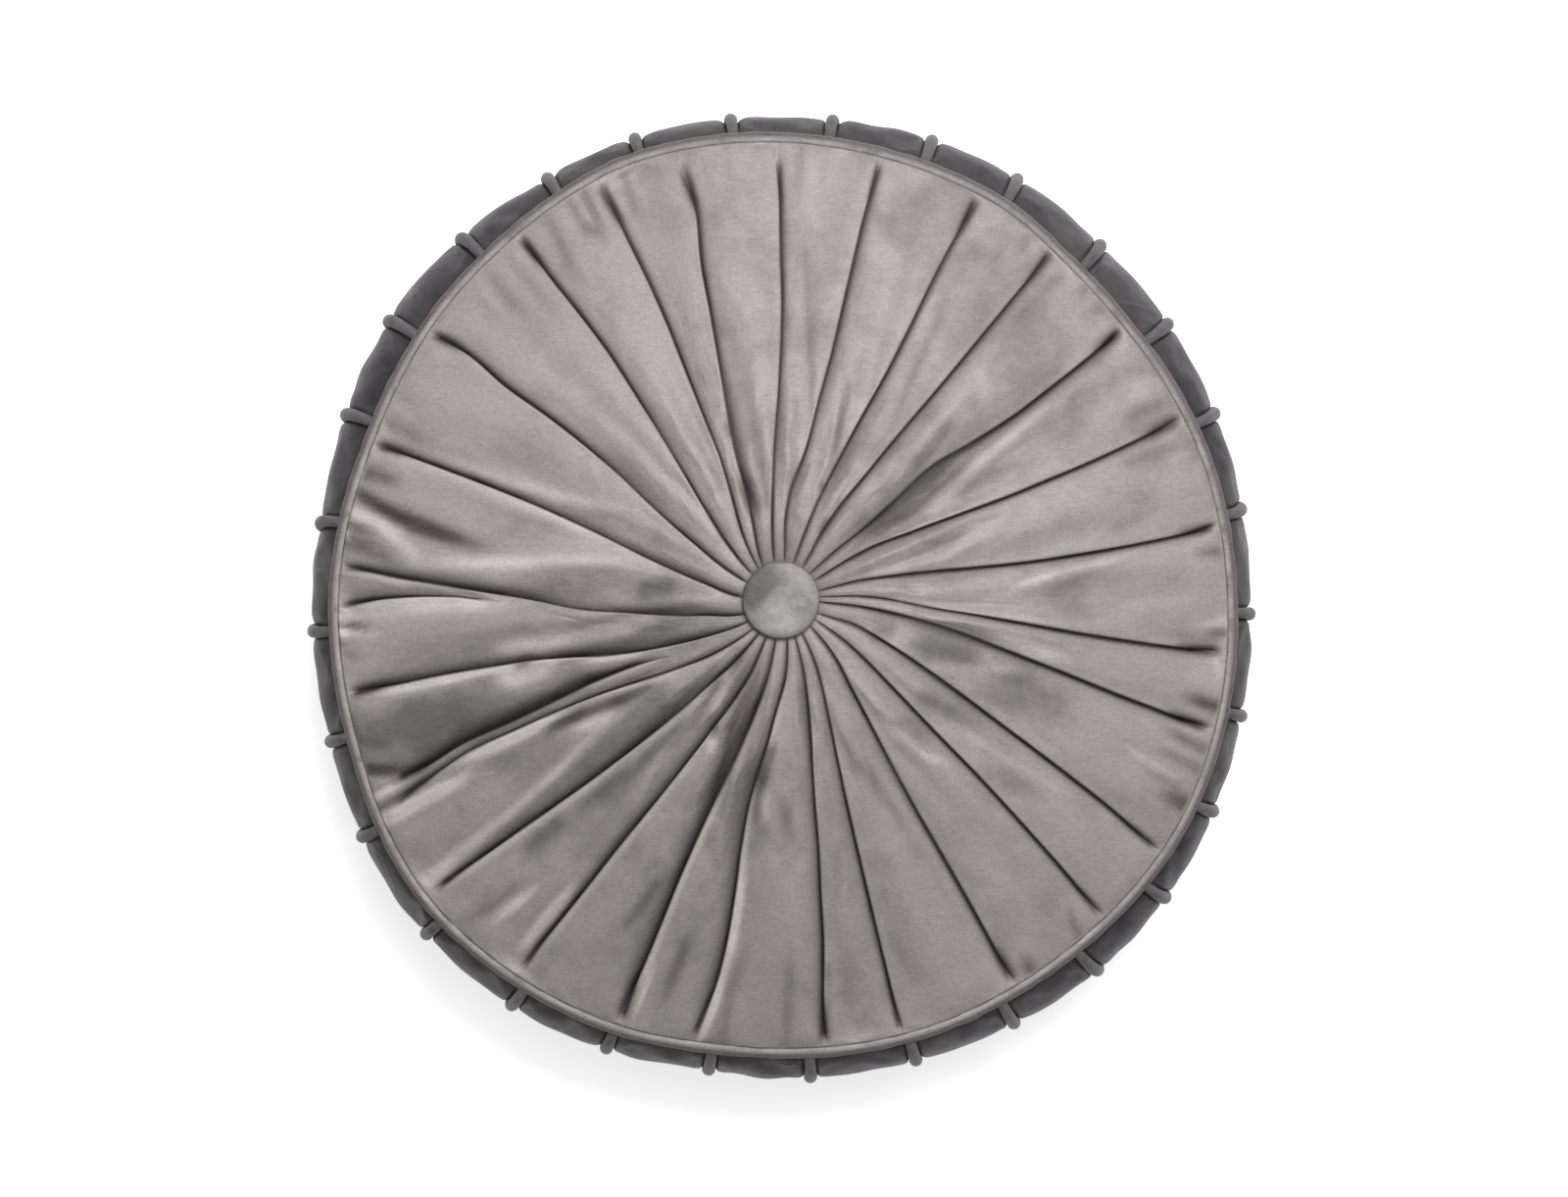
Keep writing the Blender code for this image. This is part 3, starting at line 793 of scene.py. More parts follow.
# ---- The face ----
@dataclass
class PleatedFace:
    """The round panel, drawn in under the button and laid in one-way pleats."""

    sizes: CushionSizes
    crown_rise: float = 0.0135  # how far the face stands above its seam
    crown_fall: float = 5
    tuft_depth: float = 0.021  # how far the button draws the face in
    tuft_spread: float = 0.030
    button_radius: float = 0.0247
    start: float = 0.0205  # hidden by the button
    fold_depth: float = 0.0060
    full_gap: float = 0.016  # folds closer together than this are shallower
    run_in: float = 0.030
    run_out: float = 0.030
    line_run_out: float = 0.010  # its dark line goes on further
    stub: float = 0.12  # how far along its run a fold still is at its end
    last_station: float = 0.004  # a station this close to a fold's end isn't used
    lip_height: float = 0.0022
    lip_width: float = 0.0019  # but at most the share lip_share of the distance between two folds
    lip_share: float = 0.13
    lip_spread: float = 0.016
    lip_rise: Pair = (0.055, 0.115)  # between these radii a lip grows from lip_least to its full height
    lip_least: float = 0.3
    overhang: float = 0.8  # of the lip's width
    lip_highlight: Pair = (1.7, 0.9)  # middle and width of the highlight painted along its edge, in lip widths
    shine: float = 1.25
    shine_gap: Pair = (0.006, 0.014)  # folds closer together than this don't shine
    plain_lip: float = 0.25  # and neither do lips up to this one
    sink_share: float = 0.4  # of the distance between two folds, at most
    sink_power: float = 1.2
    sink_start: float = 0.25  # share of the way from fold to fold over which it begins
    inner_zone: Pair = (0.160, 0.095)  # radii over which the inner sinks take over
    inner_most: float = 0.85
    puff: float = 0.030  # crown of the cloth between two folds, as a share of their distance
    flat_puff: float = 0.35  # share of it that stays beside a fold with no lip
    puff_end: Pair = (0.293, 0.253)  # radii over which it dies away
    tube: Pair = (0.27, 0.6)  # depth and power of the round section where the folds crowd together
    tube_gap: Pair = (0.021, 0.011)  # distances between two folds over which that takes over
    tube_most: float = 0.75
    # A fold's dark line and the soft shade beside it are painted shade, darker where the fold turns from the light.
    line_width: Pair = (0.0021, 0.0031)  # of a fold's dark line, near the button and outside
    line_zone: Pair = (0.13, 0.23)  # radii between those two widths
    line_share: float = 0.21  # of the distance between two folds, at most
    line_power: float = 3.5
    lip_line: float = 0.62  # how far it reaches onto the lip, in lip widths
    lit_line: float = 0.75  # how dark it is where the fold faces the light
    faint: Triple = (0.18, 0.235, 0.03)  # how much fainter it is there, most so about one radius, over a width
    shade: Triple = (0.22, 0.42, 0.8)  # of the cloth beside it: always, turned from the light, by the fold's shadow
    soft_width: float = 0.8  # of that shade, in widths of the fold's sink
    soft_share: float = 0.34  # of the distance between two folds, at most
    soft_power: float = 1.5
    shaded_turn: float = 200  # folds about this angle turn their backs to the light
    crease_shade: float = 0.24  # how dark a crease is for each mm of its depth
    darkest: float = 0.85
    # How much lighter or darker the face is painted round it, outside and near the button.
    tones: Numbers = (0.05, -0.28, -0.5, -0.22, -0.05, 0.3, 0.2, -0.12, -0.2, 0, 0.15, -0.05)  # every 30 deg
    inner_tones: Numbers = (-0.5, -0.55, -0.35, -0.35, -0.6, 0, -0.5, -0.75, -0.7, -0.2, -0.3, -0.15)
    tone_zone: Pair = (0.055, 0.085)  # radii between which the inner tones give way to the outer ones
    dimple_length: float = 0.014
    dimple_width: float = 0.0037
    dimple_depth: float = 0.0034
    dimple_least: float = 0.45  # share of its width that it has at an end that isn't swollen
    dimple_full: float = 1.5  # how soon its painted shade is fully dark as an end swells
    dimple_power: float = 2.6
    dimple_back: float = 0.013  # its middle lies this far inside the fold's end
    unevenness: float = 0.0017  # of the filling
    uneven_zone: Pair = (0.03, 0.13)  # radii over which it grows
    near: Numbers = (0, 0.25, 0.5, 0.8, 1.15, 1.55, 2.1, 3.0, 4.4)  # columns past a fold, mm
    far: Numbers = (9.0, 6.6, 4.7, 3.2, 2.1, 1.25, 0.65, 0.25)  # and before the next one, mm
    near_gap: float = 0.020  # folds closer together than this have them closer too
    far_gap: float = 0.030
    tuck: float = 0.0044  # the cloth meets the welt this far from the middle of its cord
    tuck_turn: float = math.radians(58)  # above the level of the cord
    tuck_zone: float = 0.03  # and rises towards it over this width
    roll: Pair = (0.0008, 0.0011)  # how far the edge rolls down, and over which width
    seam_shade: Pair = (0.9, 0.0006)  # darkness and width of the shade painted along the seam
    free_runs: Pair = (0.008, 0.009)  # widths beside the button and the seam in which the cloth isn't free yet
    crease_ends: Pair = (0.004, 0.003)  # the same for the depth and the darkness of a crease
    crease_run: float = 0.4  # share of its length over which an end of a crease dies away
    mark_run: float = 0.42
    mark_begun: float = 0.06
    open_rows: int = 56
    spacing: float = 1.05  # above 1 they lie closer together near the button
    edge_zone: float = 0.013
    edge_rows: Numbers = (0.0094, 0.0065, 0.0044, 0.0029, 0.0019, 0.0012, 0.0007, 0.00035, 0.0)  # to the edge
    stations: Numbers = (0.031, 0.046, 0.062, 0.093, 0.124, 0.155, 0.186, 0.217, 0.248)
    folds: tuple[Fold, ...] = tuple(Fold(*row) for row in (
        # 31 mm 46     62     93    124    155    186    217    248   last starts ends sink inner swollen shadow lip
        ((13.6, 14, 13.4, 11.4, 9.8, 9, 8.9, 9, 9.3), 9.7, 0, 280, 4, 0.26, 0.7, 0.1, 0.35),
        ((31, 31.3, 30.6, 27.9, 26, 24.8, 24.4, 24.2, 24.3), 24.5, 0, 278, 4, 0.26, 1, 0.1, 0.35),
        ((42.4, 42, 41.4, 41.4, 41.9, 39.8, 38.6, 38.4, 38.4), 38.6, 0, 279, 5.5, 0.7, 1, 0.6, 0.3),
        ((57.5, 59, 58.4, 56.3, 54.9, 53.8, 53.2, 52.8, 52.5), 52.2, 0, 280, 3.5, 0.22, 0.6, 0, 0.35),
        ((71, 70.4, 70, 68.1, 66.5, 65.3, 64.9, 64.8, 64.5), 64, 0, 283, 3.2, 0.22, 0.7, 0, 0.35),
        ((86, 87.4, 86, 81.2, 79.6, 78.6, 78.3, 78.1, 77.9), 77.3, 0, 284, 3.2, 0.22, 0.4, 0, 0.35),
        ((99.5, 97, 95.2, 93, 91.2, 90.3, 90, 90.2, 90.3), 90.4, 0, 278, 3, 0.2, 0.2, 0, 0.3),
        ((117, 111.8, 108.8, 107.4, 105.9, 104.8, 104, 103.5, 102.5), 102.8, 0, 277, 3.4, 0.3, 0.8, 0.1, 0.25),
        ((124.5, 120.8, 117.4, 113.7, 113.1, 112.8, 112.6, 112.8, 113.2), 113.5, 0, 284, 3.2, 0.2, 0.8, 0, 0.25),
        ((137.4, 134.4, 132, 128.4, 126.4, 125.6, 125.1, 125.3, 125.7), 125.8, 0, 285, 3.4, 0.2, 0.8, 0, 0.25),
        ((152, 150, 147.8, 144.9, 142.7, 142, 142, 142.4, 142), 142.9, 0, 282, 3.8, 0.22, 1, 0.1, 0.3),
        ((174, 169.2, 166.2, 162.4, 160.2, 159.2, 158.9, 158.9, 159), 159.2, 0, 280, 5, 0.3, 0.8, 0.1, 0.6),
        ((199.4, 192.8, 189.6, 185.4, 183, 180.2, 178.6, 177.4, 176.5), 175.5, 0, 283, 5, 0.26, 0.5, 0.1, 0.8),
        ((203.5, 197, 194, 189.5, 186, 181.9, 179.9, 179.5, 179.9), 181, 178, 282, 3.5, 0.3, 0.4, 0, 0.9),
        ((212.5, 208, 204.8, 200.2, 196.6, 194.1, 193.1, 192.6, 192.5), 192.2, 0, 280, 6, 0.4, 0.8, 0.3, 1.2),
        ((218, 213, 210.2, 204.8, 203.7, 204.1, 204.4, 204.3, 205.2), 205.2, 76, 270, 8, 0.5, 0.5, 0.8, 0.95),
        ((224.5, 220.5, 217, 211.4, 208, 206.6, 206.1, 205.9, 207), 207.6, 0, 272, 4, 0.4, 0.5, 0, 1.45),
        ((236, 233.6, 231, 228, 225.8, 224.1, 222.7, 221.6, 220.8), 220.0, 0, 285, 4.8, 0.3, 0.3, 0.15, 1.1),
        ((248.6, 248.2, 246, 242.2, 239.7, 238, 236.8, 236.1, 235.5), 234.9, 0, 285, 4.5, 0.3, 0.3, 0.1, 0.9),
        ((262, 260.6, 258.4, 254.8, 252.4, 250.9, 250.1, 249.8, 249.5), 249.0, 0, 284, 6, 0.5, 0.8, 0.5, 1.1),
        ((278, 274, 269.6, 264.6, 261.6, 261, 261.2, 261.1, 260.4), 258.6, 0, 282, 5.5, 0.4, 0.3, 0.2, 1.0),
        ((290, 288, 285.4, 281.9, 279.9, 278.9, 277.9, 277.2, 276.3), 275.6, 0, 283, 4.5, 0.3, 1, 0.1, 0.3),
        ((301, 298.3, 295.2, 291, 288.7, 287.5, 286.8, 286.3, 286), 285.6, 0, 285, 4, 0.26, 0.3, 0, 0.25),
        ((317.4, 314.2, 310.6, 306.5, 304.2, 303.1, 302.6, 302.2, 301.8), 301.3, 0, 284, 4, 0.26, 1, 0.1, 0.25),
        ((329.2, 327.4, 325.4, 322, 319.9, 318.8, 317.9, 317.1, 316.4), 315.4, 0, 284, 4, 0.26, 0.5, 0, 0.25),
        ((340.6, 341.6, 339.6, 335.8, 333, 331, 329.7, 328.7, 327.8), 326.4, 0, 286, 4, 0.32, 0.5, 0.1, 0.25),
        ((357, 356, 354.6, 351.6, 349, 347.1, 345.7, 344.6, 343.9), 343.3, 0, 282, 5, 0.5, 0.9, 0.2, 0.25),
        ((364, 363, 361, 357.4, 355.8, 354.7, 353.9, 353.5, 353.3), 353.3, 0, 279, 5, 0.3, 1, 0.1, 0.35),
    ))
    creases: tuple[Crease, ...] = tuple(Crease(*row) for row in (  # angles, radii, width, depth and, for some, shade
        ((38.5, 39, 36.5), (37, 80, 124), 9, 2.6), ((70.4, 71.2, 73.2), (92, 118, 152), 3, 1.3, 0.5),
        ((68, 69.6, 71), (70, 75, 80), 3, 1.2, 0.6), ((81.8, 84, 87.4), (112, 160, 244), 3, 0.8, 0.2),
        ((105.5, 106.4, 106.2), (50, 66, 84), 6, 2.2, 0.5), ((106.8, 107, 106.6), (104, 112, 122), 3, 1.2, 0.6),
        ((147.4, 153, 158.3), (92, 132, 262), 5, -1.5), ((165.4, 170.6, 175), (92, 145, 246), 5, -1.8),
        ((14, 18.4, 22.8), (96, 142, 240), 5, -0.6), ((30.6, 34.8, 37.4), (94, 146, 246), 5, -1.1),
        ((358.8, 364.2, 368.2), (118, 162, 240), 5, -1.2), ((213.2, 217, 218.4), (112, 168, 286), 5, -1.3),
        ((170.6, 168.2, 163.6), (170, 240, 306), 5, 3.2, 0.9), ((193.2, 193.8, 194.6), (156, 167, 178), 4, 2, 0.7),
        ((213.4, 211, 208.8), (98, 130, 172), 4, 2.6, 0.8), ((209.4, 208.9, 208.8), (220, 252, 290), 5, -1.8),
        ((234.8, 234.6, 234), (38, 50, 62), 3, 2), ((242, 243.2, 244), (84, 92, 100), 3, 1.8, 0.7),
        ((251, 250.2, 249.4), (25, 74, 124), 8, 2.4), ((264.4, 262.8, 262.4), (98, 126, 156), 3, 1.6, 0.6),
        ((309.4, 312, 316), (96, 128, 154), 4, -1.3), ((323, 324, 326.6), (104, 148, 244), 4, -1.2),
        ((336.8, 340, 344.2), (98, 130, 168), 4, -1.3), ((21.8, 21.4, 21), (224, 250, 288), 4, 1, 0.45),
        ((6.6, 6.4, 6.2), (258, 270, 286), 4, 1.1, 0.5), ((333.3, 333.1, 332.9), (262, 282, 304), 6, 1.5, 0.9),
        ((334.9, 334.7, 334.4), (248, 266, 290), 3, 0.8, 0.35), ((338.6, 338.1, 337.5), (246, 270, 298), 4, 1.1, 0.45),
        ((341.9, 341, 340), (248, 268, 298), 4, 1.3, 0.6), ((346.8, 346.3, 345.7), (254, 274, 302), 5, 1.4, 0.85),
        ((355.1, 355.6, 355.9), (262, 279, 300), 4, 1, 0.6), ((355.1, 354.9, 354.6), (242, 254, 268), 3, 0.6, 0.25),
        ((313.4, 312, 310.6), (260, 276, 296), 3, 0.9, 0.55), ((304.3, 304, 303.5), (266, 280, 302), 4, 1.2, 0.7),
        ((277.2, 277.1, 277), (228, 238, 248), 3, 0.9, 0.3), ((271.4, 271, 270.2), (212, 252, 294), 4, 1.1, 0.4),
        ((255.4, 254.2, 253.2), (204, 238, 278), 4, 1.2, 0.5), ((265.4, 263.4, 262.2), (204, 232, 298), 4, 1, 0.4),
        ((227.9, 227, 225), (232, 256, 294), 4, 1.2, 0.45), ((247.6, 245.6, 243.6), (184, 212, 240), 4, 1, 0.3),
        ((184.6, 183.6, 182), (254, 268, 284), 4, 1.3, 0.5), ((188.4, 187.4, 186), (262, 274, 286), 3, 0.9, 0.3),
        ((172.4, 172.4, 170), (252, 266, 284), 4, 1.5, 0.6), ((173.8, 173.6, 173), (246, 262, 280), 3, 1, 0.4),
        ((163, 162.9, 162.6), (240, 268, 300), 6, 1.5, 0.75), ((156, 156, 155.6), (236, 260, 286), 4, 1.2, 0.4),
        ((152.2, 152, 151.8), (252, 264, 278), 3, 0.7, 0.2), ((115.9, 115.8, 115.8), (248, 272, 302), 3, 1.2, 0.6),
        ((122.6, 122, 120.8), (230, 262, 298), 4, 1.2, 0.45), ((118, 118, 118.2), (250, 272, 300), 3, 0.9, 0.35),
        ((128.4, 128.5, 128.8), (214, 250, 292), 4, 0.9, 0.25), ((132.2, 132.3, 131.6), (228, 256, 292), 5, 1.2, 0.35),
        ((135.4, 135.6, 135.8), (246, 260, 276), 4, 0.8, 0.2), ((110.7, 110.6, 110.6), (246, 270, 300), 3, 1, 0.4),
        ((97, 97, 97), (262, 272, 284), 3, 0.6, 0.15), ((50.1, 49.8, 49.4), (210, 246, 290), 3, 0.7, 0.25),
        ((45.6, 45.6, 45.4), (264, 278, 296), 3, 0.9, 0.45), ((42.6, 42.3, 41.9), (260, 275, 292), 4, 0.8, 0.35),
        ((27.8, 27.3, 27.2), (236, 262, 290), 4, 0.7, 0.25), ((55.3, 55.4, 55.5), (254, 272, 298), 3, 0.6, 0.2),
        ((88.2, 87.7, 86.8), (250, 272, 302), 3, 0.8, 0.3), ((58, 58, 58), (250, 262, 274), 3, 0.7, 0.15),
        ((200.6, 199.4, 197.8), (258, 272, 286), 4, 1.2, 0.35), ((205.2, 203.4, 200.2), (248, 270, 304), 4, 2.2, 0.8),
        ((212, 212.6, 213.2), (262, 276, 290), 4, -1), ((225.4, 225.4, 225.4), (250, 266, 280), 3, 0.9, 0.25),
        ((229, 227.8, 226.6), (244, 258, 274), 4, -1), ((279.9, 279.4, 279), (236, 254, 272), 4, 0.7, 0.2),
        ((288.2, 288.6, 289), (216, 240, 262), 3, 0.7, 0.2),
    ))
    tone_marks: tuple[PileAndLight, ...] = tuple(PileAndLight(*row) for row in (  # angles, radii, width, tone
        ((358.6, 364.2, 368.2), (118, 162, 240), 4, 0.9), ((358.8, 356.4, 355), (120, 150, 196), 4, 0.25),
        ((361, 363.4, 365.6), (158, 178, 210), 12, -0.7), ((356.8, 357.8, 358.2), (158, 184, 214), 8, -0.55),
        ((358, 359.6, 360.6), (206, 232, 268), 7, 0.3), ((14, 18.4, 22.8), (96, 142, 240), 4, 0.3),
        ((12.8, 14.6, 16.8), (150, 174, 200), 8, -0.15), ((19, 20, 20.8), (84, 106, 136), 8, -0.6),
        ((11.6, 13, 14.2), (200, 230, 262), 4, -0.3), ((30.6, 34.4, 37), (94, 146, 246), 4, 1.2),
        ((30.6, 31.2, 32.2), (116, 142, 170), 7, -0.9), ((30, 32, 33), (190, 222, 256), 10, -0.5),
        ((38.8, 37.8, 38.6), (56, 96, 146), 7, -1.3), ((44.4, 45.6, 47.2), (112, 134, 162), 4, -0.9),
        ((45.8, 48.4, 50.6), (104, 146, 236), 4, 0.5), ((46, 48, 49.4), (86, 96, 108), 6, -0.4),
        ((57, 59.6, 61.4), (118, 166, 226), 3, -0.4), ((59.4, 62, 63), (112, 170, 240), 4, 0.1),
        ((72.4, 75.6, 77), (98, 176, 246), 4, 0.25), ((72, 74.4, 76.4), (232, 244, 256), 8, -0.5),
        ((82.6, 85.2, 88.6), (112, 160, 244), 4, 0.1), ((72, 78, 84), (46, 52, 60), 5, -0.5),
        ((116, 116.6, 117), (64, 82, 104), 6, -0.6), ((129.8, 130, 130.2), (140, 172, 206), 5, -0.45),
        ((147.4, 153, 158.3), (92, 132, 262), 4, 0.95), ((107.8, 107.2, 106), (58, 72, 90), 4, -1.2),
        ((59, 60, 61), (46, 53, 62), 3, -1), ((145.6, 148.6, 151.6), (146, 176, 212), 12, -0.4),
        ((150, 152.4, 153.6), (66, 78, 96), 8, -0.6), ((155.2, 156.4, 157.2), (104, 132, 164), 7, -0.3),
        ((165.2, 161.8, 160.4), (92, 128, 216), 4, 0.6), ((165.4, 170.6, 175), (92, 145, 246), 5, 1.1),
        ((163.4, 165, 166.2), (140, 172, 206), 9, -0.35), ((170, 174.6, 177.8), (62, 78, 98), 9, -1.4),
        ((173.2, 174.6, 176), (100, 132, 172), 8, -0.6), ((166.6, 167, 164.2), (200, 232, 262), 5, -0.5),
        ((170.2, 168.2, 163.8), (180, 240, 304), 4.5, -1.9), ((170.9, 170.1, 169.4), (254, 272, 300), 3, -1.6),
        ((173.8, 172.8, 171.6), (236, 258, 282), 9, -0.9), ((172.3, 172.5, 172.8), (264, 280, 304), 4, -1.2),
        ((172.4, 171.3, 170.2), (262, 278, 300), 2.5, 1.5), ((170.6, 169, 168.4), (232, 258, 294), 5, 1.2),
        ((174, 171.4, 169), (222, 243, 264), 5, 0.9), ((185.2, 184.4, 183.6), (246, 272, 310), 2.5, 1.2),
        ((183.4, 183.2, 183), (262, 278, 302), 1.8, -1.8), ((186, 185.4, 184.8), (268, 284, 304), 2.4, -1.4),
        ((182.3, 182.5, 182.8), (256, 276, 302), 3, 1.2), ((207, 207.6, 207.3), (216, 250, 304), 4, -1.8),
        ((205.3, 203.6, 200.4), (250, 268, 304), 3, -1.8), ((197.4, 197.6, 197.2), (180, 245, 340), 14, -0.7),
        ((205.4, 205.8, 206.2), (252, 274, 306), 3, 1.6), ((218.9, 218.6, 218.2), (224, 258, 306), 6, 1.2),
        ((229.9, 229.1, 227.9), (228, 250, 280), 3, 1.4), ((261.3, 260.5, 258.6), (232, 262, 302), 2.5, 1.8),
        ((181.4, 180.8, 182.6), (150, 214, 278), 6, 1.1), ((184, 185.8, 187), (122, 176, 244), 12, -0.35),
        ((190.4, 190, 189.8), (124, 152, 196), 7, 1.3), ((189, 192, 193), (60, 78, 104), 9, -0.7),
        ((196, 196.4, 196.2), (142, 168, 196), 7, 2.2), ((193.8, 193.6, 193.4), (176, 220, 272), 3, 1.4),
        ((199.6, 199.8, 198.2), (120, 225, 330), 24, -0.85), ((207.6, 201.6, 197), (76, 94, 122), 5, 0.6),
        ((203, 203.2, 203.8), (90, 160, 250), 5, -1.2), ((208.2, 207.4, 207), (140, 182, 232), 4, 2.2),
        ((208.2, 206, 206.6), (116, 180, 270), 2, -1.6), ((214.2, 212.4, 211.4), (118, 140, 160), 5, 1.7),
        ((209.8, 209, 208.6), (136, 156, 176), 3, -2.2), ((213.2, 212.2, 210.6), (92, 110, 130), 3, -2),
        ((250.9, 250.7, 250.6), (232, 258, 286), 2, 1.4), ((262.6, 262.4, 261.6), (152, 200, 258), 2, 0.5),
        ((209.4, 209, 208.9), (212, 252, 310), 5, 2.7), ((213.2, 217, 218.4), (112, 168, 286), 4, 1.3),
        ((212.6, 214, 215), (146, 176, 214), 11, -0.2), ((219, 219.6, 219), (70, 120, 190), 11, -0.8),
        ((224.6, 224.8, 224.6), (184, 206, 232), 6, -1.1), ((233, 228.4, 226.6), (84, 146, 194), 6, -1),
        ((231.6, 233.4, 234.8), (52, 70, 96), 4, -1), ((229, 228.2, 227.6), (240, 256, 272), 6, 0.6),
        ((234.2, 233.8, 233), (208, 246, 286), 4, 2), ((238.6, 239.2, 239.4), (56, 72, 92), 5, 1.2),
        ((243.8, 244.6, 245.6), (92, 101, 110), 4, 1.1), ((246, 246.4, 245.6), (118, 190, 264), 14, -0.25),
        ((247.8, 246, 244), (176, 208, 240), 4, -0.4), ((258.6, 253.6, 251), (50, 92, 146), 4, -2.4),
        ((267.8, 264.8, 262.8), (82, 100, 124), 4, -2.4), ((264.6, 265.2, 265.6), (116, 127, 142), 4, 1.2),
        ((262.8, 262.2, 262), (158, 194, 236), 3, 0.8), ((254.2, 254.2, 253.6), (214, 232, 252), 5, -0.5),
        ((269.4, 271.2, 273), (118, 134, 158), 5, -0.75), ((282.6, 281.8, 280.6), (150, 172, 200), 4, -0.5),
        ((292.8, 296.6, 298.8), (92, 122, 198), 5, -0.7), ((290.6, 292, 292.6), (112, 134, 158), 8, -0.25),
        ((309.4, 312, 316), (96, 128, 154), 4, 0.9), ((312, 314, 315.6), (92, 114, 140), 9, -0.8),
        ((306.2, 307.2, 308.2), (140, 168, 200), 8, -0.35), ((323, 324, 326.6), (104, 148, 244), 4, 0.45),
        ((320.8, 321.8, 322.4), (150, 182, 214), 8, -0.8), ((325, 326.4, 327.4), (94, 120, 152), 9, -0.9),
        ((336, 333, 330.2), (106, 150, 226), 4, 0.45), ((336.8, 340, 344.2), (98, 130, 168), 4, 0.35),
        ((335.4, 338, 340.6), (114, 160, 222), 18, -0.8), ((340.8, 342, 344), (78, 104, 138), 9, -1.4),
        ((338.6, 342.6, 346), (58, 66, 76), 7, -0.9), ((352.2, 349.8, 347.4), (118, 152, 196), 5, 1),
        ((350.4, 350, 347.6), (84, 120, 160), 5, -0.2), ((337.6, 336.3, 335.8), (224, 250, 282), 3, 0.7),
        ((356.2, 357, 357.4), (256, 276, 300), 3, 0.8), ((2, 3.6, 4.6), (236, 252, 270), 8, -0.3),
        ((34.6, 34, 32.8), (186, 235, 290), 8, -0.35), ((116, 116.8, 118.2), (246, 259, 274), 5, -0.6),
        ((26.6, 27.6, 28.2), (232, 252, 270), 7, -0.25), ((330.6, 331.6, 332), (236, 254, 272), 7, -0.3),
    ))

    def fold_angle(self, index: int, radius: Array) -> Array:
        """Return the angle of a fold at a radius. Indices past the table go round again.

        Args:
            index: The fold.
            radius: From the button's axis, metres.

        Returns:
            Degrees.
        """
        laps, row = divmod(index, len(self.folds))
        fold = self.folds[row]
        reach = fold.ends / 1000
        stations = [station for station in self.stations if station < reach - self.last_station]
        return 360 * laps + through([*stations, reach], [*fold.angles[: len(stations)], fold.last_angle], radius)

    def strength(self, index: int, radius: Array, run_out: float) -> Array:
        """Return from 0 to 1 how fully a fold is formed at a radius, where it dies away over a length.

        Args:
            index: The fold.
            radius: From the button's axis, metres.
            run_out: Length over which it dies away.

        Returns:
            From 0 to 1.
        """
        fold = self.folds[index % len(self.folds)]
        starts, ends = fold.starts / 1000, fold.ends / 1000
        begun = ramp(radius, starts, starts + self.run_in) if starts else 1.0
        return begun * smooth_step((ends - radius) / run_out + self.stub)

    def crown(self, radius: Array, edge: Array) -> Array:
        """Return the height of the face without its folds.

        Args:
            radius: From the button's axis, metres.
            edge: The same at the face's edge.

        Returns:
            Metres.
        """
        dome = self.crown_rise * (1 - (radius / edge) ** self.crown_fall)
        tuft = self.tuft_depth * np.exp((self.button_radius - radius) / self.tuft_spread)
        return self.sizes.top_height + dome - tuft

    def columns(self, total: int) -> Columns:
        """Share out the columns of the grid.

        Args:
            total: How many columns there are.

        Returns:
            For each column its fold, and its place past it: whole numbers from NEAR on are the near columns,
            negative ones the far columns, and fractions between 0 and 1 lie between the two.
        """
        rim = self.sizes.seam_radius
        gaps = [float(self.fold_angle(i + 1, rim) - self.fold_angle(i, rim)) for i in range(len(self.folds))]
        spare = total - len(gaps) * (len(self.near) + len(self.far))
        counts = [2] * len(gaps)
        while sum(counts) < spare:
            counts[max(range(len(gaps)), key=lambda i: gaps[i] / counts[i])] += 1
        columns: Columns = []
        for fold, count in enumerate(counts):
            columns += [(fold, float(NEAR + k)) for k in range(len(self.near))]
            columns += [(fold, (k + 1) / (count + 1)) for k in range(count)]
            columns += [(fold, -1.0 - k) for k in range(len(self.far))]
        return columns

    def across(self, place: float, gap: Array) -> Array:
        """Return how far past its fold a column is, in metres, for the distance between two folds.

        Args:
            place: The column's place, as columns() gives it.
            gap: Distance from its fold to the next one.

        Returns:
            Metres.
        """
        near = np.minimum(1.0, gap / self.near_gap) / 1000
        far = np.minimum(1.0, gap / self.far_gap) / 1000
        if place >= NEAR:
            return self.near[int(place) - NEAR] * near
        if place < 0:
            return gap - self.far[int(-place) - 1] * far
        return lerp(self.near[-1] * near, gap - self.far[0] * far, place)

    def dimple(self, index: int, aside: Array, radius: Array) -> Array:
        """Return how far a point lies within the dimple at a fold's outer end.

        Args:
            index: The fold.
            aside: Distance from it.
            radius: From the button's axis, metres.

        Returns:
            From 0 to 1.
        """
        fold = self.folds[index % len(self.folds)]
        along = bell(radius - fold.ends / 1000 + self.dimple_back, self.dimple_length, 4)
        width = self.dimple_width * lerp(self.dimple_least, 1.0, fold.swollen)
        return min(1.0, self.dimple_full * fold.swollen) * along * bell(aside, width, self.dimple_power)

    def fold_shape(self, index: int, past: Array, gap: Array, radius: Array) -> tuple[Array, Array, Array, Array]:
        """Shape the cloth between one fold and the next.

        Args:
            index: The fold.
            past: Distance past it.
            gap: Distance from it to the next one.
            radius: Distance from the button's axis.

        Returns:
            Height, sideways shift of the folded-over lip, how far painted shade covers the cloth in and beside the
            fold, and how much lighter the colour is painted along the lip's edge, as a highlight.
        """
        share = np.clip(past / gap, 0.0, 1.0)
        before = np.maximum(gap - past, 0.0)
        crowd = np.minimum(1.0, gap / self.full_gap)
        here, there = (self.strength(i, radius, self.run_out) for i in (index, index + 1))
        line_here, line_there = (self.strength(i, radius, self.line_run_out) for i in (index, index + 1))
        fold, other = (self.folds[i % len(self.folds)] for i in (index, index + 1))
        away = 0.5 + 0.5 * np.cos(np.radians(self.fold_angle(index + 1, radius) - self.shaded_turn))

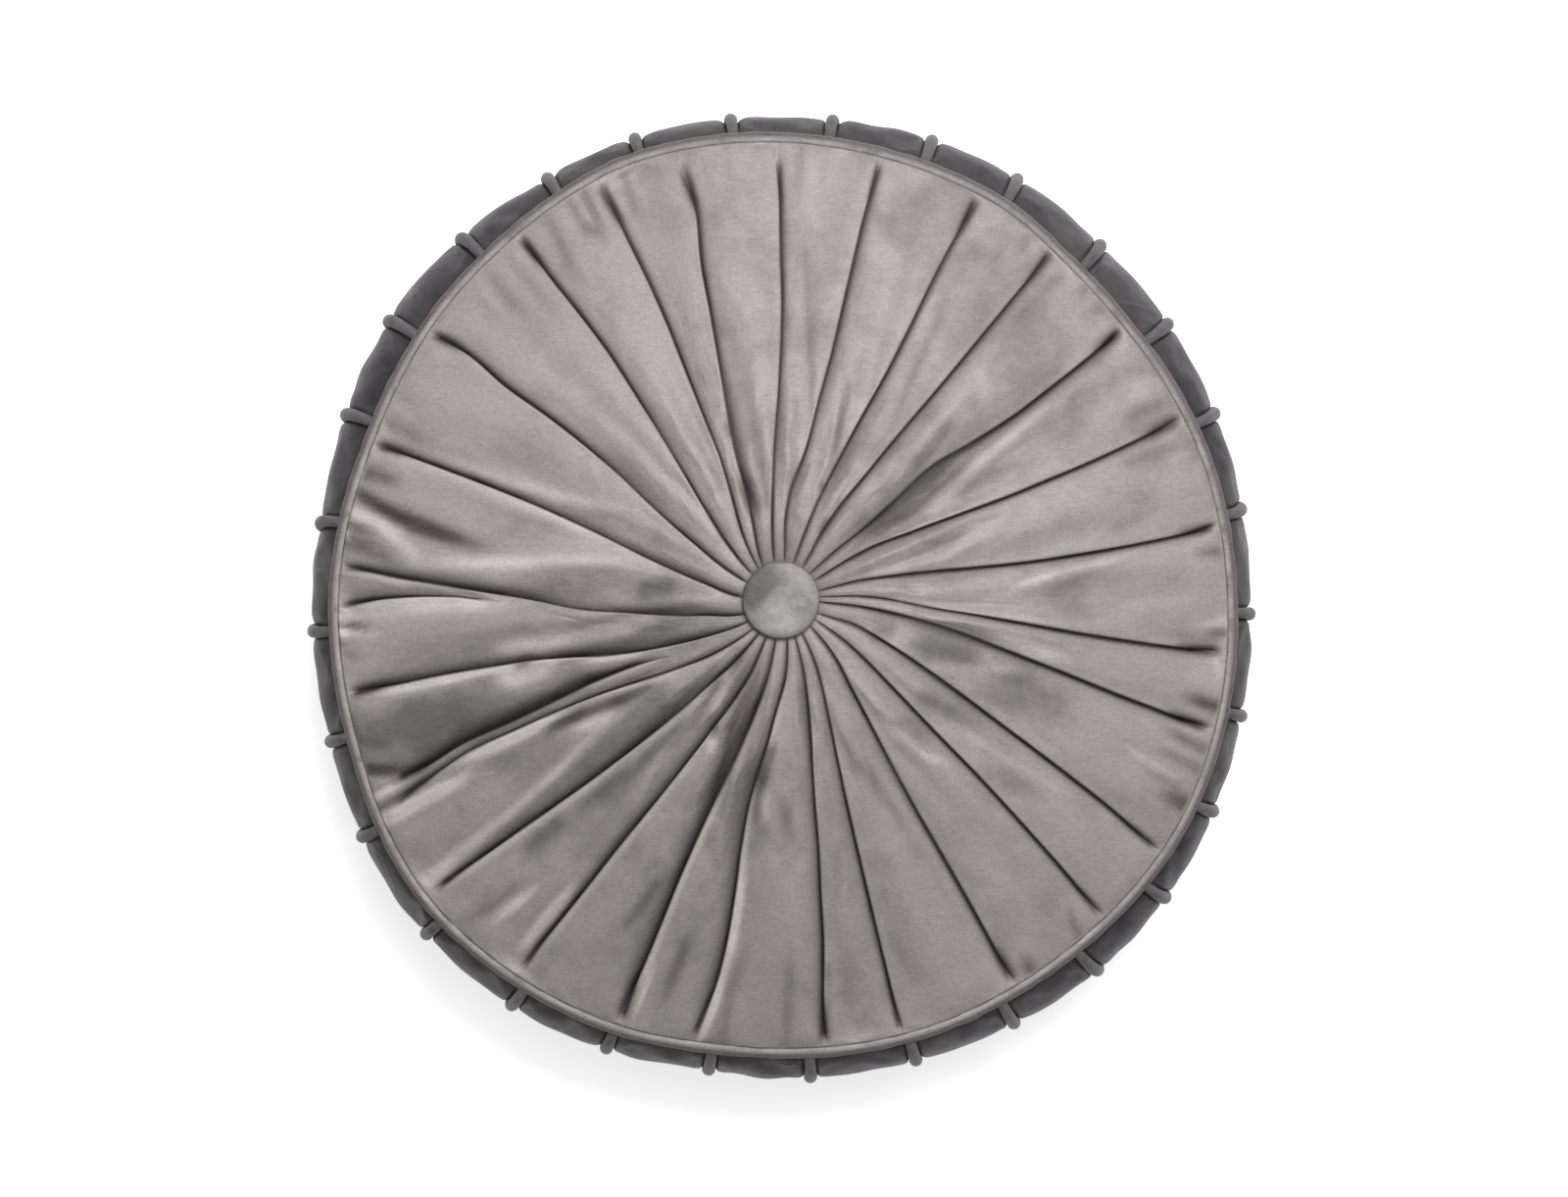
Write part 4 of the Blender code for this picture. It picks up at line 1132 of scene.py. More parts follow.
        lip = np.minimum(self.lip_width, self.lip_share * gap)
        turn = past / lip
        rise = smooth_step(turn)
        shown = fold.lip * lerp(self.lip_least, 1.0, ramp(radius, *self.lip_rise))
        stand = self.lip_height * shown * np.exp(-past / self.lip_spread) * (1 - share**2)
        raised = here * crowd * (stand * rise - self.fold_depth * (1 - rise))
        shift = -here * self.overhang * lip * turn * np.exp(1 - turn)

        inner = self.inner_most * ramp(radius, *self.inner_zone)
        sink = lerp(np.minimum(other.sink / 1000, self.sink_share * gap), other.inner_sink * gap, inner)
        drop = bell(before, sink, self.sink_power) * smooth_step(share / self.sink_start)
        sunk = -there * crowd * self.fold_depth * (1 + other.shadow) * drop
        puff = self.puff * lerp(self.flat_puff, 1.0, min(1.0, fold.lip))
        puffed = puff * gap * np.sin(math.pi * share) * ramp(radius, *self.puff_end)
        dimples = [self.dimple(index, past, radius), self.dimple(index + 1, before, radius)]
        laid = raised + sunk + puffed - self.dimple_depth * (dimples[0] + dimples[1])

        depth, power = self.tube
        tubed = depth * gap * (np.sin(math.pi * share) ** power - 1)
        narrow = self.tube_most * ramp(gap, *self.tube_gap) * here * there
        height = lerp(laid, tubed, narrow)

        # Painted shade: the fold's dark line, lighter where the fold faces the light, and the soft shade beside it.
        less, middle, width = self.faint
        faded = 1 - less * (1 - away) * bell(radius - middle, width)
        width = np.minimum(lerp(*self.line_width, ramp(radius, *self.line_zone)), self.line_share * gap)
        line = faded * lerp(self.lit_line, 1.0, away) * bell(before, width, self.line_power)
        always, turned, shadowed = self.shade
        soft = bell(before, np.minimum(self.soft_width * sink, self.soft_share * gap), self.soft_power)
        shade = (always + turned * away + shadowed * other.shadow) * soft
        dark = np.maximum(line_here * bell(past, self.lip_line * lip, 3), line_there * np.maximum(line, shade))
        # The dimples at the folds' ends are painted dark as shade too.
        dark = np.maximum(dark, np.maximum(*dimples))
        # Painted highlight along the lip's edge.
        middle, width = self.lip_highlight
        lip_highlight = bell(past - middle * lip, width * lip)
        shine = self.shine * max(0.0, fold.lip - self.plain_lip) * shown / fold.lip
        tone = here * shine * lip_highlight * ramp(gap, *self.shine_gap)
        return height, shift * (1 - narrow), dark, tone

    def crease_shape(self, angle: Array, radius: Array) -> tuple[Array, Array]:
        """Return how far the smaller creases raise or lower the face, and how dark shade is painted in them.

        Args:
            angle: Where round the cushion, degrees.
            radius: From the button's axis, metres.

        Returns:
            Metres, and from 0 to 1.
        """
        height, dark = np.zeros_like(radius), np.zeros_like(radius)
        for crease in self.creases:
            shape = stroke(crease, angle, radius, self.crease_run)
            height -= crease.depth / 1000 * shape
            shade = self.crease_shade * crease.depth if crease.shade is None else crease.shade
            dark = np.maximum(dark, shade * shape)
        return height, np.minimum(dark, self.darkest)

    def toned(self, angle: Array, radius: Array) -> Array:
        """Return how much lighter the colour is painted at each point, or below 0 how much darker.

        Round the face it follows the tones every 30 degrees; along each mark it is brushed pile, painted highlight
        and painted shade.

        Args:
            angle: Where round the cushion, degrees.
            radius: From the button's axis, metres.

        Returns:
            The tone at each point.
        """
        turns = np.linspace(0, 360, len(self.tones) + 1)
        outer, inner = (np.interp(angle % 360, turns, [*tones, tones[0]]) for tones in (self.tones, self.inner_tones))
        tone = lerp(inner, outer, ramp(radius, *self.tone_zone))
        for tone_mark in self.tone_marks:
            tone += tone_mark.tone * stroke(tone_mark, angle, radius, self.mark_run, self.mark_begun)
        return tone

    def ripple(self, angle: Array, radius: Array) -> Array:
        """Return the slight unevenness of the filling under the cloth."""
        waves = wavelets(seed=11, count=34, lobes=(5, 46), slant=26, fade=9, angle=angle, along=radius)
        return self.unevenness * waves * ramp(radius, *self.uneven_zone)

    def patch(self, columns: Columns) -> Patch:
        """Lay out the face as rings of points, from under the button to the welt.

        Args:
            columns: The face's columns.

        Returns:
            The rings.
        """
        rows = self.open_rows + len(self.edge_rows)
        open_share = np.linspace(0, 1, self.open_rows) ** self.spacing
        edge_share = 1 - np.array(self.edge_rows) / self.edge_zone
        rim = np.array([self.sizes.seam_radius])
        shape = (rows, len(columns))
        radius, angle, edge, height, dark, tone, across = (np.zeros(shape) for _ in range(7))
        for column, (fold, place) in enumerate(columns):
            rim_gap = np.radians(self.fold_angle(fold + 1, rim) - self.fold_angle(fold, rim)) * rim
            rim_angle = self.fold_angle(fold, rim) + np.degrees(self.across(place, rim_gap) / rim)
            end = float(self.sizes.seam(Seam.TOP, rim_angle)[0]) - self.tuck * math.cos(self.tuck_turn)
            inner = end - self.edge_zone
            out = np.concatenate([lerp(self.start, inner, open_share), lerp(inner, end, edge_share)])
            first = self.fold_angle(fold, out)
            gap = np.radians(self.fold_angle(fold + 1, out) - first) * out
            past = self.across(place, gap)
            height[:, column], shift, dark[:, column], tone[:, column] = self.fold_shape(fold, past, gap, out)
            angle[:, column] = first + np.degrees((past + shift * self.freedom(out, end)) / out)
            radius[:, column], edge[:, column] = out, end
            across[:, column] = (fold + past / gap) / len(self.folds)
        free, inside = self.freedom(radius, edge), edge - radius
        creased, dented = self.crease_shape(angle, radius)
        height_end, dark_end = self.crease_ends
        height = (height + self.ripple(angle, radius)) * free + creased * ramp(inside, 0, height_end)
        raised = self.tuck * math.sin(self.tuck_turn) * ramp(inside, self.tuck_zone, 0)
        depth, width = self.roll
        level = self.crown(radius, edge) + height + raised - depth * ramp(inside, width, 0)
        cloth = np.stack([across, radius * CLOTH_SCALE], axis=-1)
        tone += self.toned(angle, radius)
        # Painted shade along the seam with the welt.
        depth, width = self.seam_shade
        dented = dented * ramp(inside, 0, dark_end)
        dark = np.maximum(np.maximum(dark * free, dented), depth * bell(inside, width))
        return Patch(round_points(angle, radius, level), cloth, dark, np.zeros(shape), tone)

    def freedom(self, radius: Array, edge: Array | float) -> Array:
        """Return from 0 to 1 how free of the button and the seam the cloth is."""
        button, seam = self.free_runs
        return ramp(radius, self.start, self.start + button) * ramp(radius, edge, edge - seam)


# ---- The side wall, its ribs and its seams ----
@dataclass
class SideWall:
    """The boxed wall: puffed between its ribs, drawn in under each, and its seams' hollows."""

    sizes: CushionSizes
    ribs: tuple[Pair, ...] = (  # angle at the top seam, and how far each has strayed at its foot
        (10.8, 1.2), (23.0, 0.8), (35.3, 0.6), (47.7, 0.8), (60.5, 0.5), (71.8, 0.0), (84.0, -0.4), (95.9, 0.3),
        (107.6, 0.0), (118.8, 0.6), (131.0, 1.4), (144.1, 1.3), (156.5, 1.2), (170.0, 1.6), (184.0, -0.6),
        (197.6, -0.5), (209.7, -0.8), (223.4, -0.4), (236.6, -0.7), (248.8, -0.3), (261.3, -0.2), (273.6, -0.2),
        (286.3, 0.1), (298.7, 0.4), (310.1, 1.2), (321.9, 1.0), (333.7, 0.8), (345.8, 0.2), (358.4, -0.3),
    )
    dip: float = 0.0040  # the groove that each rib lies in
    dip_angle: float = 0.86  # half its width, degrees
    puff: float = 0.0004
    fullness: float = 0.0018  # the cloth stands this far outside the plain wall
    wrinkle: float = 0.0002
    wrinkle_angle: float = 2.5  # they die away this close to a rib, degrees
    pull: float = 0.0005  # height of the puckers at the ribs
    pull_waves: Pair = (11, 29)  # how many down the wall, and round it
    pull_angle: float = 1.8  # how far they reach from a rib, degrees
    shade: float = 0.8  # of the hollows and the grooves
    shade_angle: float = 1.0  # half the width of a groove's shade, degrees
    end_shade: float = 0.75  # beside the welts
    per_rib: int = 32
    bunching: float = 0.62  # how much closer the columns lie beside a rib
    rows: int = 24
    end_turn: float = 9  # of the first row, and of the last before 180
    top_turns: tuple[Pair, ...] = ((0.1, 150), (0.3, 186), (0.5, 222), (0.8, 258), (1.0, 294))
    foot_turns: Numbers = (294, 264, 236, 208, 180)  # round the bottom welt's hollow
    top_sides: Numbers = (0.1, 0.3, 0.6, 0.9, 1.0)  # how far the finish is the wall's, in the top hollow
    cloth_start: float = 2.84

    def rib_angle(self, index: int, share: Array) -> Array:
        """Return the angle of a rib at a share of the way down the wall.

        Args:
            index: The rib.
            share: Of the way down the wall.

        Returns:
            Degrees.
        """
        laps, row = divmod(index, len(self.ribs))
        top, lean = self.ribs[row]
        return 360 * laps + top + lean * share

    def columns(self) -> Columns:
        """Lay out the columns of the wall, closer together beside the ribs.

        Returns:
            For each column its rib, and its share of the way to the next one.
        """
        shares = np.arange(self.per_rib) / self.per_rib
        shares = shares - self.bunching * np.sin(math.tau * shares) / math.tau
        return [(rib, float(share)) for rib in range(len(self.ribs)) for share in shares]

    def angles(self, columns: Columns, share: float) -> Array:
        """Return the angle of each column at a share of the way down the wall."""
        return np.array([lerp(self.rib_angle(rib, share), self.rib_angle(rib + 1, share), across)
                         for rib, across in columns])

    def off_rib(self, angle: Array, share: float) -> Array:
        """Return how many degrees an angle is from the nearest rib at that height."""
        ribs = np.array([self.rib_angle(i, share) for i in range(len(self.ribs))])
        return np.min(np.abs((angle[..., None] - ribs + 180) % 360 - 180), axis=-1)

    @staticmethod
    def turn_share(turn: float) -> float:
        """Return how far down the wall a turn is, from 0 at the top seam to 1 at the bottom one."""
        return (1 - math.cos(math.radians(turn))) / 2

    def section(self, angle: Array, turn: float, wrinkled: bool = True) -> tuple[Array, Array]:
        """Give a level of the wall.

        Args:
            angle: Angles round the cushion.
            turn: From 0 at the top seam to 180 at the bottom one.
            wrinkled: Whether the cloth's small wrinkles are added.

        Returns:
            Radius and height at each angle.
        """
        phase = math.radians(turn)
        seam = self.sizes.seam(Seam.TOP if turn < 90 else Seam.BOTTOM, angle)
        off = self.off_rib(angle, self.turn_share(turn))
        puff = self.puff * np.sin(math.pi / 2 * off / (180 / len(self.ribs)))
        dip = self.dip * bell(off, self.dip_angle, 4)
        widest = self.sizes.wall_radius + self.fullness + self.sizes.outlines.off(Seam.WALL, angle) + puff - dip
        radius = lerp(seam, widest, math.sin(phase))
        if wrinkled:
            radius = radius + self.wrinkles(angle, off, phase)
        return radius, self.sizes.mid_height + self.sizes.wall_half_height * math.cos(phase) + 0 * angle

    def wrinkles(self, angle: Array, off: Array, phase: float) -> Array:
        """Return the small puckers that run from the seams and the ribs into the wall.

        Args:
            angle: Where round the cushion, degrees.
            off: Degrees from the nearest rib.
            phase: Turn down the wall, radians.

        Returns:
            Metres.
        """
        waves = wavelets(seed=5, count=26, lobes=(14, 70), slant=6, fade=40, angle=angle, along=phase)
        down, along = self.pull_waves
        pulled = self.pull * np.sin(phase * down + np.radians(angle) * along) * np.exp(-off / self.pull_angle)
        return (self.wrinkle * waves * smooth_step(off / self.wrinkle_angle) + pulled) * math.sin(phase) ** 0.5

    @property
    def turns(self) -> Array:
        """Return the turn of each of the wall's rows."""
        return np.linspace(self.end_turn, 180 - self.end_turn, self.rows)

    def patch(self, columns: Columns, panel_angles: Array) -> Patch:
        """Lay out the wall from the top welt's hollow to the bottom one's.

        Args:
            columns: The wall's columns.
            panel_angles: The angle of each of the face's columns at its edge.

        Returns:
            The rings of both hollows and the wall.
        """
        # depth holds the painted shade of each ring: the welts' hollows, beside the welts, and the ribs' grooves.
        rings, depth = [], []
        top = self.angles(columns, 0)
        for share, turn in self.top_turns:  # from the panel's angles to the wall's
            angle = lerp(panel_angles, top, share)
            rings.append(round_points(angle, *self.sizes.hollow(Seam.TOP, angle, turn)))
            depth.append(np.full(len(columns), self.shade))
        for turn in self.turns:
            angle = self.angles(columns, self.turn_share(turn))
            rings.append(round_points(angle, *self.section(angle, turn)))
            off = self.off_rib(angle, self.turn_share(turn))
            edge = math.exp(1 - min(turn, 180 - turn) / self.end_turn)
            depth.append(np.maximum(self.end_shade * edge, self.shade * bell(off, self.shade_angle)))
        foot = self.angles(columns, 1)
        for turn in self.foot_turns:
            rings.append(round_points(foot, *self.sizes.hollow(Seam.BOTTOM, foot, turn)))
            depth.append(np.full(len(columns), self.shade))
        places = np.stack(rings)
        cloth = np.zeros((*places.shape[:2], 2))
        cloth[:, :, 0] = np.array([(rib + across) / len(self.ribs) for rib, across in columns])
        steps = np.linalg.norm(np.diff(places, axis=0), axis=2).mean(axis=1)
        cloth[:, :, 1] = (self.cloth_start + CLOTH_SCALE * np.concatenate([[0], np.cumsum(steps)]))[:, None]
        side = np.ones(places.shape[:2])
        side[: len(self.top_sides)] = np.array(self.top_sides)[:, None]
        return Patch(places, cloth, np.stack(depth), side)


@dataclass
class PlainBack:
    """The underside: plain cloth, flat where it rests on the floor."""

    sizes: CushionSizes
    foot_radius: float = 0.232  # the cloth lies flat inside it
    rise: float = 1.7
    cloth_start: float = 4.5  # at the radius of its edge
    cloth_edge: float = 0.3
    rows: Numbers = (0.86, 0.7, 0.52, 0.32, 0.12)
    flat_rows: Numbers = (0.22, 0.12, 0.03)

    def patch(self, angles: Array) -> Patch:
        """Lay out the back from the bottom welt's hollow to the middle.

        Args:
            angles: Of its columns.

        Returns:
            The rings.
        """
        edge = self.sizes.seam(Seam.BOTTOM, angles) - self.sizes.notch_radius
        rings = [round_points(angles, lerp(self.foot_radius, edge, share), self.sizes.bottom_height * share**self.rise)
                 for share in self.rows]
        rings += [round_points(angles, np.full_like(edge, radius), 0.0) for radius in self.flat_rows]
        places = np.stack(rings)
        cloth = np.zeros((*places.shape[:2], 2))
        cloth[:, :, 0] = angles / 360
        inward = self.cloth_edge - np.linalg.norm(places[:, :, :2], axis=2).mean(axis=1)
        cloth[:, :, 1] = self.cloth_start + inward[:, None] * CLOTH_SCALE
        return Patch(places, cloth, np.zeros(places.shape[:2]), np.ones(places.shape[:2]))


@dataclass
class CushionCover:
    """The whole filled cover, as one closed skin."""

    sizes: CushionSizes
    face: PleatedFace
    wall: SideWall
    back: PlainBack
    filling: Filling = Filling()
    finish: Velvet = Velvet("face_velvet_cloth", "face_velvet", lean=0.36, wall_colour_and_shade=(0.036, 0.0335, 0.038))
    near_hold: float = 2.2  # how far past a fold its stitches hold, mm
    far_hold: float = 4.0  # and before it
    middle: Pair = (0.055, 0.085)  # the button holds the face within the first radius, and outside the second not
    pressed_from: float = 0.05  # radius past which the filling presses the face
    rib_hold: float = 1.1  # how far from a rib its stitches hold, degrees
    taken: tuple[int, ...] = (NEAR, NEAR + 5, NEAR + 8, -1, -4, -8)  # columns that the face's coarse copy keeps

    def build(self) -> bpy.types.Object:
        """Build the cover in place of the plain cushion.

        Returns:
            The cover.
        """
        walls = self.wall.columns()
        columns = self.face.columns(len(walls))
        face = self.face.patch(columns)
        self._press_face(face, columns)
        edge = face.places[-1]
        panel = np.unwrap(np.degrees(np.arctan2(edge[:, 1], edge[:, 0])) % 360, period=360)
        walls = self._lined_up(walls, panel)
        wall = self.wall.patch(walls, panel)
        self._press_wall(wall, walls)
        back = self.back.patch(self.wall.angles(walls, 1))
        skin = Skin("cushion_cover", self.finish, self.finish.material())
        seat = float(face.places[0, :, 2].mean())
        cover = skin.loft(face.then(wall).then(back), (Vector((0, 0, seat)), Vector((0, 0, 0))))
        return skin.hand_over(cover, "cushion")

    def _press_face(self, face: Patch, columns: Columns) -> None:
        """Fill out the face between its pleats, which stay where they are laid.

        Args:
            face: The face, whose places change.
            columns: Its columns.
        """
        radius = np.linalg.norm(face.places[:, 0, :2], axis=1)
        rings = np.flatnonzero(radius > self.pressed_from)[:-2]
        taken = [i for i, (_, place) in enumerate(columns) if place in self.taken or (0 <= place < 1 and i % 2)]
        held = np.zeros(face.places.shape[:2])
        for column, (fold, place) in enumerate(columns):
            out = np.linalg.norm(face.places[:, column, :2], axis=1)
            if place >= NEAR:
                near = bell(self.face.near[int(place) - NEAR], self.near_hold, 4)
                held[:, column] = near * self.face.strength(fold, out, self.face.run_out)
            elif place < 0:
                near = bell(self.face.far[int(-place) - 1], self.far_hold, 4)
                held[:, column] = near * self.face.strength(fold + 1, out, self.face.run_out)
            held[:, column] = np.maximum(held[:, column], 1 - ramp(out, *self.middle))
        held[rings[-1]:] = 1.0
        self.filling.press(face, rings, np.array(taken), held, slack=0.004, limit=0.0015)

    def _press_wall(self, wall: Patch, walls: Columns) -> None:
        """Fill out the wall between its ribs and its welts.

        Args:
            wall: The wall, whose places change.
            walls: Its columns.
        """
        columns = np.arange(0, len(walls), 2)
        hollow = len(self.wall.top_turns)
        rings = np.arange(hollow - 1, hollow + 1 + self.wall.rows)
        turns = [self.wall.end_turn, *self.wall.turns, 180 - self.wall.end_turn]
        held = np.zeros(wall.places.shape[:2])
        angle = np.degrees(np.arctan2(wall.places[..., 1], wall.places[..., 0]))
        for ring, turn in zip(rings, turns):
            held[ring] = bell(self.wall.off_rib(angle[ring], self.wall.turn_share(turn)), self.rib_hold, 4)
        held[rings[0]] = held[rings[-1]] = 1.0
        self.filling.press(wall, rings, columns, held, slack=0.015, limit=0.002)

    def _lined_up(self, walls: Columns, panel: Array) -> Columns:
        """Start the wall's columns where they skew least against the face's.

        Args:
            walls: The wall's columns.
            panel: Angles of the face's columns at its edge.

        Returns:
            The wall's columns from the best one on.
        """
        count, base = len(walls), self.wall.angles(walls, 0)

        def skew(first: int) -> float:
            """Return how far the two sets of columns are apart in all, with this one first."""
            laps, rest = np.divmod(np.arange(count) + first, count)
            return float(np.abs(base[rest] + 360 * laps - panel).sum())

        best = min(range(-count // 8, count // 8), key=skew)
        lined = []
        for i in range(count):
            laps, rest = divmod(i + best, count)
            rib, across = walls[rest]
            lined.append((rib + laps * len(self.wall.ribs), across))
        return lined


@dataclass
class Cord:
    """A piped cord: a bias strip over filler cord, sewn in along its inner side."""

    sides: int = 24
    seam_width: float = 0.03  # of the strip's cloth, as the finish sees it

    @property
    def turns(self) -> Array:
        """Return the turn of each side round the cord, from the outer side on."""
        return np.arange(self.sides) / self.sides * 360

    def rings(self, path: Array, closed: bool, radii: Array) -> Array:
        """Turn a path into rings of points square to it.

        Args:
            path: Points along the cord.
            closed: Whether its last point meets its first.
            radii: Its radius at each point.

        Returns:
            Points, rings x sides x 3.
        """
        if closed:
            along = np.roll(path, -1, axis=0) - np.roll(path, 1, axis=0)
        else:
            along = np.gradient(path, axis=0)
        along /= np.linalg.norm(along, axis=1)[:, None]
        outward = path * np.array([1.0, 1.0, 0.0])
        outward -= along * np.sum(outward * along, axis=1)[:, None]
        outward /= np.linalg.norm(outward, axis=1)[:, None]
        across = np.cross(outward, along)
        turns = np.radians(self.turns)[None, :, None]
        spokes = np.cos(turns) * outward[:, None, :] + np.sin(turns) * across[:, None, :]
        return path[:, None, :] + radii[:, None, None] * spokes

    def patch(self, rings: Array, crevice: Array) -> Patch:
        """Return the rings as a patch whose cloth runs along the cord.

        Args:
            rings: The cord's points.
            crevice: How dark each is painted, mostly as shade.

        Returns:
            The patch.
        """
        steps = np.linalg.norm(np.diff(rings.mean(axis=1), axis=0), axis=1)
        along = np.concatenate([[0], np.cumsum(steps)])
        cloth = np.zeros((*rings.shape[:2], 2))
        cloth[:, :, 0] = self.turns / 360 * self.seam_width
        cloth[:, :, 1] = along[:, None] * CLOTH_SCALE
        return Patch(rings, cloth, crevice, np.zeros(rings.shape[:2]))


@dataclass
class Welt:
    """A piped welt, lying in one of the cover's seams, with its strip joined on the bias."""

    name: str
    seam: Seam
    sizes: CushionSizes
    seed: int
    joins: Numbers  # angles
    finish: Velvet
    points: int = 620
    swells: int = 18  # slight changes of its thickness
    swell_lobes: tuple[int, int] = (20, 110)  # the fewest and the most of one round the seam
    swell: float = 0.00005
    shade: float = 0.8
    outer_shade: Pair = (112, 58)  # turns from which and up to which its outer side falls into shade
    inner_shade: Pair = (121, 135)  # the same of its inner side
    glint: Triple = (0.2, 30, 14)  # how much less shaded a strip of the outer side is, its turn and its width
    join_shade: float = 0.5
    join_width: float = 0.0011
    join_reach: float = 0.01  # it isn't marked further than this from its middle
    join_slant: float = 0.00006  # for each degree round the cord

    def build(self) -> bpy.types.Object:
        """Build the welt in place of its plain cord.

        Returns:
            The welt.
        """
        cord = Cord()
        angle = 360 * np.arange(self.points) / self.points
        height = self.sizes.top_height if self.seam is Seam.TOP else self.sizes.bottom_height
        path = round_points(angle, self.sizes.seam(self.seam, angle), height)
        dice = np.random.default_rng(self.seed)
        radii = np.full(self.points, self.sizes.welt_radius)
        for _ in range(self.swells):
            lobes = int(dice.integers(*self.swell_lobes))
            radii += self.swell * np.sin(np.radians(angle) * lobes + dice.uniform(0, math.tau))
        rings = cord.rings(path, True, radii)
        over = (cord.turns + 90) % 360 - 90
        less, turn, width = self.glint
        outer = ramp(over, *self.outer_shade) * (1 - less * bell(over - turn, width))
        crevice = np.tile(self.shade * np.maximum(ramp(over, *self.inner_shade), outer), (self.points, 1))
        for join in self.joins:
            aside = np.radians((angle[:, None] - join + 180) % 360 - 180) * self.sizes.seam_radius
            aside = aside - (cord.turns - 90) * self.join_slant
            mark = self.join_shade * bell(aside, self.join_width) * (np.abs(aside) < self.join_reach)
            crevice = np.maximum(crevice, mark)
        skin = Skin(self.name, self.finish, self.finish.material())
        made = skin.loft(cord.patch(rings, crevice), None)
        return skin.hand_over(made, self.name.replace("_cord", ""))


@dataclass
class RibSet:
    """The upright piped ribs of the side wall."""

    sizes: CushionSizes
    wall: SideWall
    finish: Velvet
    gap: float = 0.0002  # between a rib and the wall under it
    rows: int = 40
    end_turn: float = 4  # of its first row, and of its last before 180
    end_lift: float = 0.75  # share of its height over the wall that it has at its ends
    lift_run: float = 14  # degrees of turn
    end_size: float = 0.82  # share of its thickness there
    size_run: float = 55  # over which it tapers towards them, degrees of turn
    swell: Triple = (0.08, 80, 28)  # its thickest stretch: how much thicker, its turn and its width
    swell_stray: float = 12  # how far that turn strays
    unevenness: float = 0.02
    uneven_wave: float = 0.09  # for each degree of turn
    shade: float = 0.8  # of its inner side
    shade_width: float = 50  # degrees round the cord

    def path(self, index: int) -> tuple[Array, Array]:
        """Return the points along a rib, set off square to the wall, and the turn at each.

        Args:
            index: The rib.

        Returns:
            Points, and turns.
        """
        turns = np.linspace(self.end_turn, 180 - self.end_turn, self.rows)
        rows = []
        for turn in turns:
            angle = np.array([float(self.wall.rib_angle(index, self.wall.turn_share(turn)))])
            radius, height = self.wall.section(angle, turn, wrinkled=False)
            rows.append((radius[0], height[0], angle[0]))
        rows = np.array(rows)
        along = np.gradient(rows[:, :2], axis=0)
        along /= np.linalg.norm(along, axis=1)[:, None]
        ends = np.minimum(turns, 180 - turns) - self.end_turn
        lift = (self.sizes.rib_radius + self.gap) * lerp(self.end_lift, 1.0, smooth_step(ends / self.lift_run))
        radius = rows[:, 0] - along[:, 1] * lift
        height = rows[:, 1] + along[:, 0] * lift
        return round_points(rows[:, 2], radius, height), turns

    def build(self) -> list[bpy.types.Object]:
        """Build every rib in place of its plain cord.

        Returns:
            The ribs.
        """
        material, cord, made = self.finish.material(), Cord(), []
        inner = self.shade * bell(cord.turns - 180, self.shade_width)
        more, thickest, width = self.swell
        for index in range(len(self.wall.ribs)):
            dice = np.random.default_rng(100 + index)
            path, turns = self.path(index)
            swell = 1 + more * bell(turns - thickest - dice.uniform(-self.swell_stray, self.swell_stray), width)
            swell += self.unevenness * np.sin(turns * self.uneven_wave + dice.uniform(0, math.tau))
            ends = np.minimum(turns - turns[0], turns[-1] - turns) / self.size_run
            radii = self.sizes.rib_radius * swell * lerp(self.end_size, 1.0, smooth_step(ends))
            rings = cord.rings(path, False, radii)
            skin = Skin(f"rib_cord_{index + 1:02d}", self.finish, material)
            patch = cord.patch(rings, np.tile(inner, (len(rings), 1)))
            rib = skin.loft(patch, (Vector(rings[0].mean(axis=0)), Vector(rings[-1].mean(axis=0))))
            made.append(skin.hand_over(rib, f"rib_{index + 1:02d}"))
        return made


